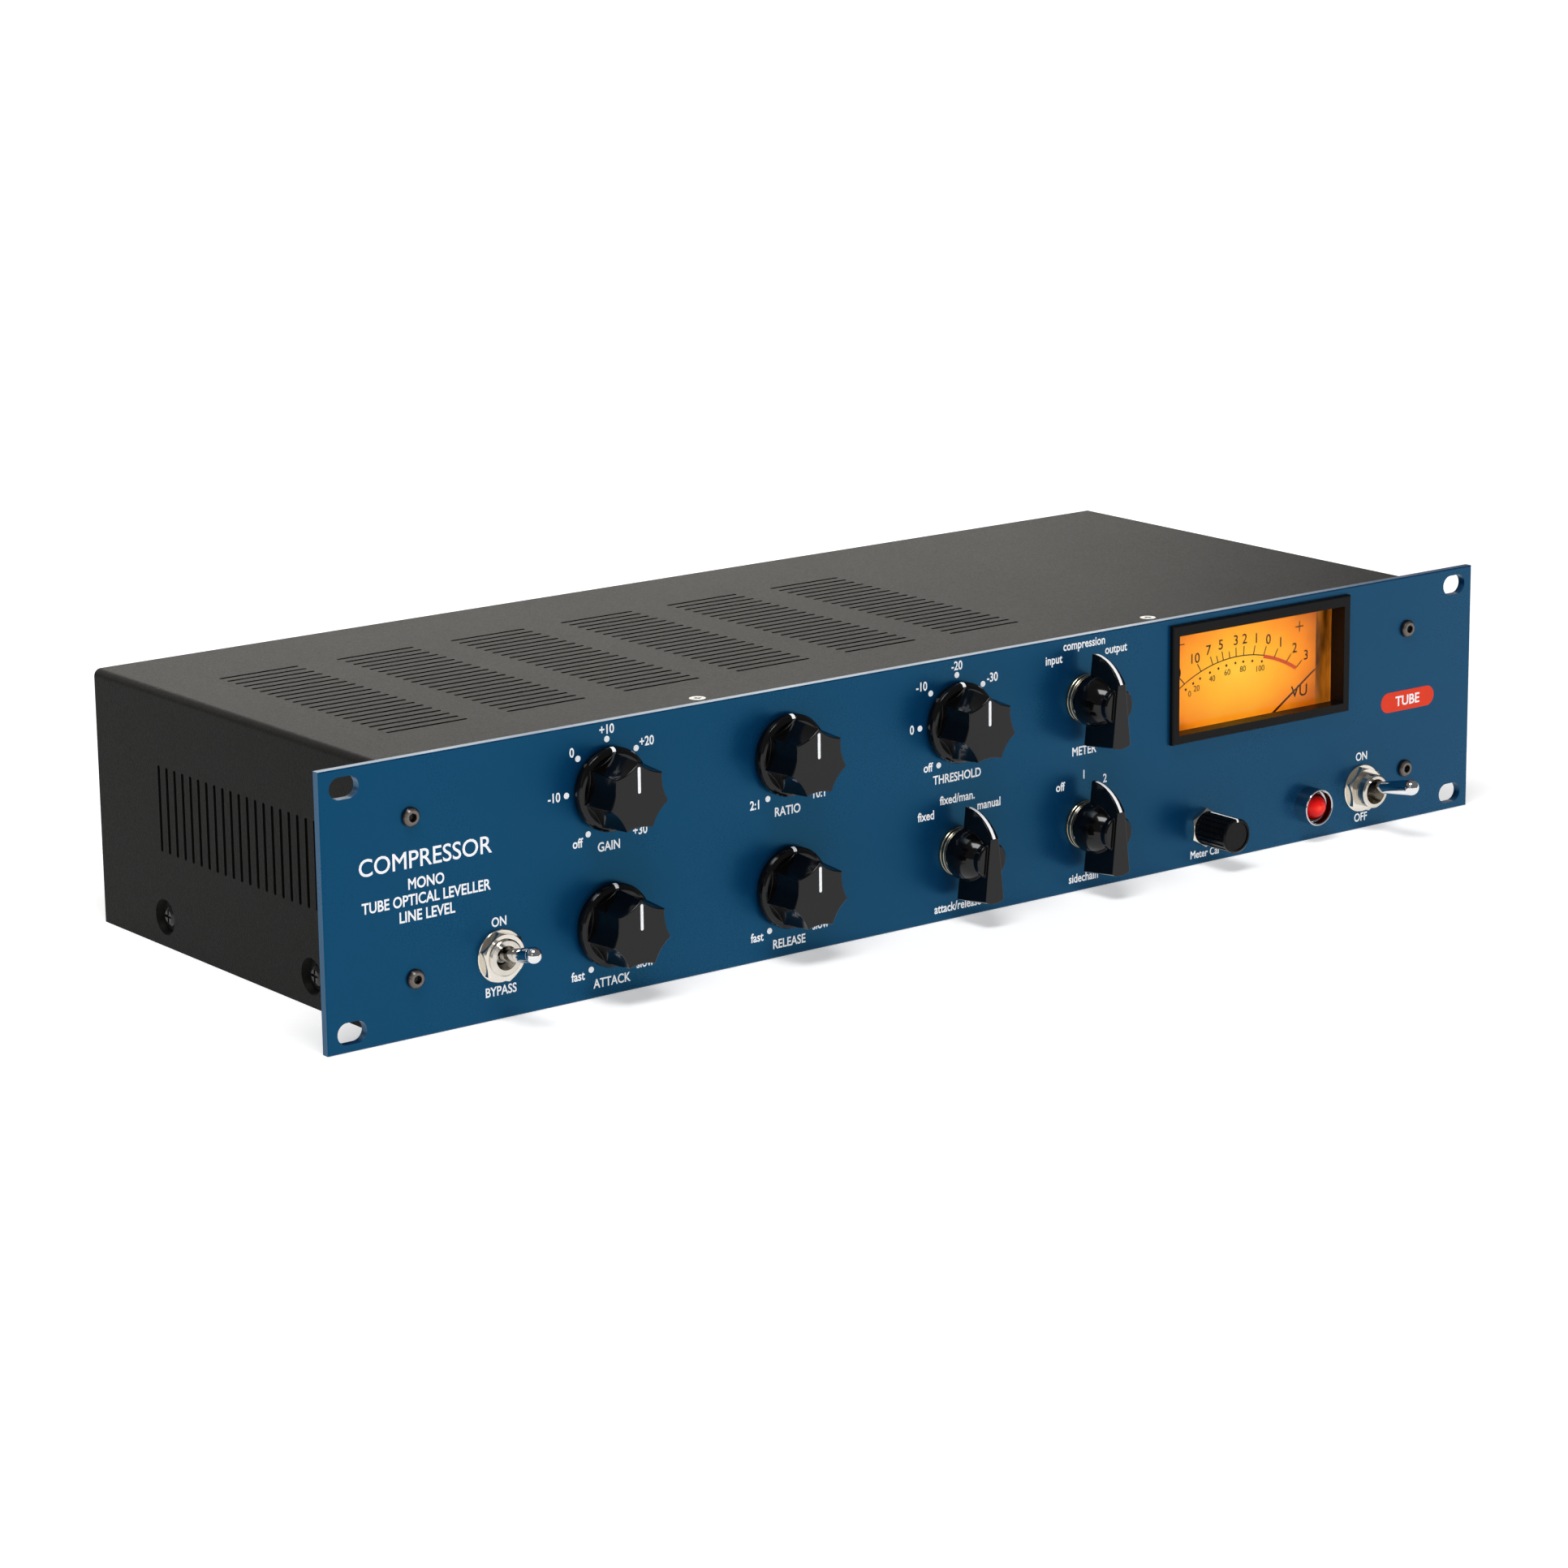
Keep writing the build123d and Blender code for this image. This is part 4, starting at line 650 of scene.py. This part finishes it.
def print_scales(ink):
    """Dots and figures round the fluted knobs."""
    figures = {
        "gain": (("off", -143, 19.8), ("-10", -90, 20.3), ("0", -45, 18.8), ("+10", 0, 18.8),
                 ("+20", 49.7, 19.8), ("+30", 142, 19.4)),
        "threshold": (("off", -137.9, 18.4), ("0", -90, 19.0), ("-10", -47, 20.3), ("-20", 0, 18.8),
                      ("-30", 49.7, 19.8)),
    }
    for name, entries in figures.items():
        for turn in DOT_TURNS:
            ink.dot(*polar(places[name], turn, SCALE_RADIUS), DOT_RADIUS)
        for word, turn, radius in entries:
            ink.text(word, *polar(places[name], turn, radius))
    ends = {"ratio": ("2:1", "10:1"), "attack": ("fast", "slow"), "release": ("fast", "slow")}
    for name, words in ends.items():
        for side, word in zip((-1, 1), words):
            ink.dot(*polar(places[name], side * DOT_TURNS[-1], SCALE_RADIUS), DOT_RADIUS)
            ink.text(word, *polar(places[name], side * 139, LABEL_RADIUS))


def print_selectors(ink):
    """Words above and below the pointer selectors."""
    words = {
        "timing_selector": (("fixed", -44, 19.2), ("fixed/man.", 0, 18.0), ("manual", 44, 19.4)),
        "meter_selector": (("input", -42, 20.0), ("compression", 0, 18.7), ("output", 43, 20.6)),
        "sidechain_selector": (("off", -36, 17.8), ("1", 0, 17.2), ("2", 33, 17.2)),
    }
    for name, entries in words.items():
        for word, turn, radius in entries:
            ink.text(word, *polar(places[name], turn, radius))


def print_names(ink):
    """Names under each control and the title block."""
    for name in KNOBS:
        ink.text(name.upper(), places[name][0], places[name][1] - NAME_DROP)
    below = (("meter_selector", "METER", 18.0), ("timing_selector", "attack/release", 18.6),
             ("sidechain_selector", "sidechain", NAME_DROP))
    for name, word, drop in below:
        ink.text(word, places[name][0], places[name][1] - drop)
    ink.text("Meter Cal", places["meter_cal"][0] + 0.8, places["meter_cal"][1] - 9.3, capital=2.6)
    for toggle, words in (("bypass_toggle", BYPASS_WORDS), ("power_toggle", POWER_WORDS)):
        for word, height in words:
            ink.text(word, centre(toggle)[0], height)
    x, z = TITLE_PLACE
    ink.text("COMPRESSOR", x, z, capital=TITLE_CAPITAL, width=TITLE_WIDTH, weight=0.008)
    for row, words in enumerate(("MONO", "TUBE OPTICAL LEVELLER", "LINE LEVEL")):
        ink.text(words, x, z - LINES_DROP - LINE_STEP * row, capital=3.3)


def print_badge(red, white):
    """A plain red tab with round ends right of the meter, and one word on it."""
    x, z = BADGE_PLACE
    ends = [math.pi * k / 24 for k in range(25)]
    right = [(BADGE_STRAIGHT + BADGE_RADIUS * math.sin(a), BADGE_RADIUS * math.cos(a)) for a in ends]
    left = [(-px, -pz) for px, pz in right]
    red.outline(right + left, x, z)
    white.text("TUBE", x, z, capital=3.4, condense=1.0)


# ---------------------------------------------------------------- printed dial
def on_arc(turn, offset=0.0):
    """Point where a ray from the pivot meets the dial's arc, moved out along the ray."""
    drop = DIAL_RADIUS - DIAL_APEX
    c = math.cos(math.radians(turn))
    reach = -drop * c + math.sqrt((drop * c) ** 2 - drop ** 2 + DIAL_RADIUS ** 2)
    return polar(pivot, turn, reach + offset)


def print_dial(ink, red):
    """Level scale with its red end, percent dots, signs and unit."""
    arc_z = pivot[1] + DIAL_APEX - DIAL_RADIUS

    def arc_turn(turn):
        x, z = on_arc(turn)
        return math.degrees(math.atan2(x - pivot[0], z - arc_z))

    ink.arc(pivot[0], arc_z, DIAL_RADIUS, arc_turn(ARC_START), arc_turn(ZERO_TURN), 0.36)
    red.arc(pivot[0], arc_z, DIAL_RADIUS - 0.35, arc_turn(ZERO_TURN), arc_turn(VU_MARKS[-1][0]), 1.3)
    for turn, figure in VU_MARKS:
        length = TICK_LENGTH if figure else 0.75 * TICK_LENGTH
        ink.bar(*on_arc(turn, length / 2), 0.38, length, turn)
        if figure:
            ink.text(figure, *on_arc(turn, 5.9), capital=3.4, condense=1.0, weight=0.008)
    for turn, figure in PERCENT_MARKS:
        ink.dot(*on_arc(turn, -2.2), 0.46, 16)
        if figure:
            ink.text(figure, *on_arc(turn, -4.7), capital=2.0, condense=1.0, weight=0.006)
    ink.bar(*MINUS_PLACE, 2.8, 0.35)
    ink.bar(*PLUS_PLACE, 3.8, 0.4)
    ink.bar(*PLUS_PLACE, 0.4, 3.8)
    ink.text("VU", *UNIT_PLACE, capital=4.0, weight=0.006, condense=1.05)


# ---------------------------------------------------------------- paint lines on the controls
def paint_controls(white):
    """Pointer lines, skirt marks, ridge inlays and the trimmer's line."""
    half = (LINE_REACH[1] - LINE_REACH[0]) / 2
    middle = sum(LINE_REACH) / 2
    cap_turns = [math.pi * k / 12 for k in range(13)]
    radius = LINE_WIDTH / 2
    straight = half - radius
    upper = [(radius * math.cos(a), straight + radius * math.sin(a)) for a in cap_turns]
    lower = [(-radius * math.cos(a), -straight - radius * math.sin(a)) for a in cap_turns]
    for name in KNOBS:
        body = f"{name}_control"
        x, z = places[name]
        line = Print(on_front, knob_face + GROOVE_DEPTH, GROOVE_DEPTH - 0.06)
        line.outline(upper + lower, x, z + middle)
        line.finish(f"{name}_pointer_line", body, white)
        ribbon(f"{name}_skirt_mark", smooth_path(SKIRT_PROFILE, (x, z)), SKIRT_MARK_WIDTH, body, white)
    ridge = [(r, h + SELECTOR_BASE) for r, h in arc_through(*RIDGE, 24)][1:]
    for name in SELECTORS:
        ribbon(f"{name}_ridge_line", smooth_path(ridge, places[name]), RIDGE_LINE_WIDTH, name, white)
    face = panel_front - cal_face
    top = [(cal_radius, 4.0), (cal_radius, face - 0.5), (cal_radius - 0.25, face - 0.25),
           (cal_radius - 0.5, face), (cal_radius - 1.05, face)]
    ribbon("meter_cal_line", smooth_path(top, places["meter_cal"]), CAL_LINE_WIDTH, "meter_cal", white)


def selector_collars(metal):
    """Grooved ring round each selector's nut."""
    for name in SELECTORS:
        lathe(f"{name}_collar", places[name], COLLAR, "chassis", metal)


# ---------------------------------------------------------------- rear print
def print_rear(ink):
    """Words beside the rear connectors."""
    for node, word, drop in REAR_WORDS:
        x, z = centre(node)
        ink.text(word, x, z - drop, capital=REAR_CAPITAL)
    x, z = centre("line_jacks")
    for word, offset in JACK_WORDS:
        ink.text(word, x + offset, z - JACK_DROP, capital=2.6)


# ---------------------------------------------------------------- stage
def area_light(name, place, target, size, power, colour=(1, 1, 1)):
    """Rectangular soft light aimed at a point, in metres."""
    lamp = bpy.data.lights.new(name, "AREA")
    lamp.shape = "RECTANGLE"
    lamp.size, lamp.size_y = size
    lamp.energy = power
    lamp.color = colour
    thing = bpy.data.objects.new(name, lamp)
    thing.location = place
    thing.rotation_euler = (Vector(target) - Vector(place)).to_track_quat("-Z", "Y").to_euler()
    bpy.context.scene.collection.objects.link(thing)


def make_stage():
    """Glowing white floor, soft boxes and a dim surround, as in a white studio sweep."""
    floor_z = cad_box[0].z
    mesh = bpy.data.meshes.new("floor")
    reach = FLOOR_REACH
    corners = [(sx * reach, sy * reach, floor_z) for sx, sy in ((-1, -1), (1, -1), (1, 1), (-1, 1))]
    mesh.from_pydata(corners, [], [(0, 1, 2, 3)])
    pale = surface("pale_floor", (0.86, 0.86, 0.86), 0.6, vary=0.01, grain=2.0, depth=0.01, smudge=300,
                   specular=0.1)
    x, y, z = pale.axes()
    dx, dy = (pale.maths("SUBTRACT", value, place) for value, place in zip((x, y), GLOW_CENTRE))
    glow = pale.span(pale.length(dx, dy), *GLOW, *GLOW_EDGES)
    pale.set(Emission_Color=(1, 1, 1), Emission_Strength=glow)
    mesh.materials.append(pale.material)
    floor = bpy.data.objects.new("floor", mesh)
    bpy.context.scene.collection.objects.link(floor)
    area_light("key_overhead", (-0.5, -0.42, 1.5), (-0.1, 0, 0), (0.8, 0.55), 17)
    area_light("rim_behind", (0.6, 3.2, 0.95), (0, 0, 0.1), (4.5, 1.1), 46, (1.0, 0.965, 0.90))
    area_light("fill_left", (-1.9, -1.3, 0.9), (0, 0, 0), (0.5, 1.2), 1.4)
    world = bpy.data.worlds.new("surround")
    world.use_nodes = True
    world.node_tree.nodes["Background"].inputs["Color"].default_value = (0.95, 0.97, 1.0, 1)
    world.node_tree.nodes["Background"].inputs["Strength"].default_value = 0.16
    bpy.context.scene.world = world
    bpy.context.scene.view_settings.view_transform = "Standard"


def make_camera():
    """Long lens from the front left, slightly above."""
    camera = bpy.data.cameras.new("camera")
    camera.sensor_width = 36
    camera.lens = CAMERA_LENS
    camera.clip_end = 150
    thing = bpy.data.objects.new("camera", camera)
    azimuth, elevation, roll = (math.radians(turn) for turn in CAMERA_TURN)
    forward = Vector((math.sin(azimuth) * math.cos(elevation), math.cos(azimuth) * math.cos(elevation),
                      -math.sin(elevation)))
    thing.rotation_mode = "QUATERNION"
    level = forward.to_track_quat("-Z", "Y")
    thing.rotation_quaternion = level @ Matrix.Rotation(roll, 3, "Z").to_quaternion()
    thing.location = Vector(CAMERA_AIM) - forward * CAMERA_DISTANCE
    bpy.context.scene.collection.objects.link(thing)
    bpy.context.scene.camera = thing


# ---------------------------------------------------------------- build
materials = make_materials()
for entry in frame["record"]["subparts"]:
    node = frame["nodes"][entry["node"]]
    for holder in node.material_slots:
        holder.material = materials[entry["material_slot"]].material
plate_screw = socket_black()
for holder in frame["nodes"]["faceplate_screws"].material_slots:
    holder.material = plate_screw.material

# The white print and paint lines glow faintly: painted light that makes them brighter than the lamps do
glowing_white_ink = surface("glowing_white_ink", (0.90, 0.91, 0.92), 0.42, vary=0.03, grain=0.2, depth=0.004, smudge=5)
glowing_white_ink.set(Emission_Color=(0.92, 0.95, 1.0), Emission_Strength=0.22)
glowing_red_ink = surface("glowing_red_ink", (0.80, 0.040, 0.008), 0.4, vary=0.05, grain=0.2, depth=0.004, smudge=5,
                  specular=0.2)
# painted light: the red badge print glows faintly, brighter than the lamps make it
glowing_red_ink.set(Emission_Color=(0.9, 0.05, 0.008), Emission_Strength=0.15)
dial_ink = surface("dial_ink", (0.030, 0.006, 0.002), 0.6, vary=0.1, grain=0.2, depth=0.002, smudge=5,
                   specular=0.1)
# The red end of the scale glows: painted backlight, as if the meter's lamp shone through the card
glowing_dial_red = surface("glowing_dial_red", (0.4, 0.04, 0.015), 0.6, vary=0.1, grain=0.2, depth=0.002, smudge=5,
                   specular=0.1)
glowing_dial_red.set(Emission_Color=(0.60, 0.085, 0.02), Emission_Strength=0.8)

panel_print = Print(on_front, panel_front)
badge_print = Print(on_front, panel_front)
print_scales(panel_print)
print_selectors(panel_print)
print_names(panel_print)
badge_word = Print(on_front, panel_front - INK)
print_badge(badge_print, badge_word)
panel_print.finish("panel_print", "chassis", glowing_white_ink)
badge_print.finish("badge_print", "chassis", glowing_red_ink)
badge_word.finish("badge_word", "chassis", glowing_white_ink)

dial_print = Print(on_front, dial_front)
dial_red_print = Print(on_front, dial_front)
print_dial(dial_print, dial_red_print)
dial_print.finish("dial_print", "chassis", dial_ink)
dial_red_print.finish("dial_red_print", "chassis", glowing_dial_red)

rear_print = Print(on_back, rear_face)
print_rear(rear_print)
rear_print.finish("rear_print", "chassis", glowing_white_ink)

paint_controls(glowing_white_ink)
selector_collars(turned_metal("collar_brass", (0.40, 0.34, 0.24), 0.22, pitch=0.3))
make_stage()
make_camera()
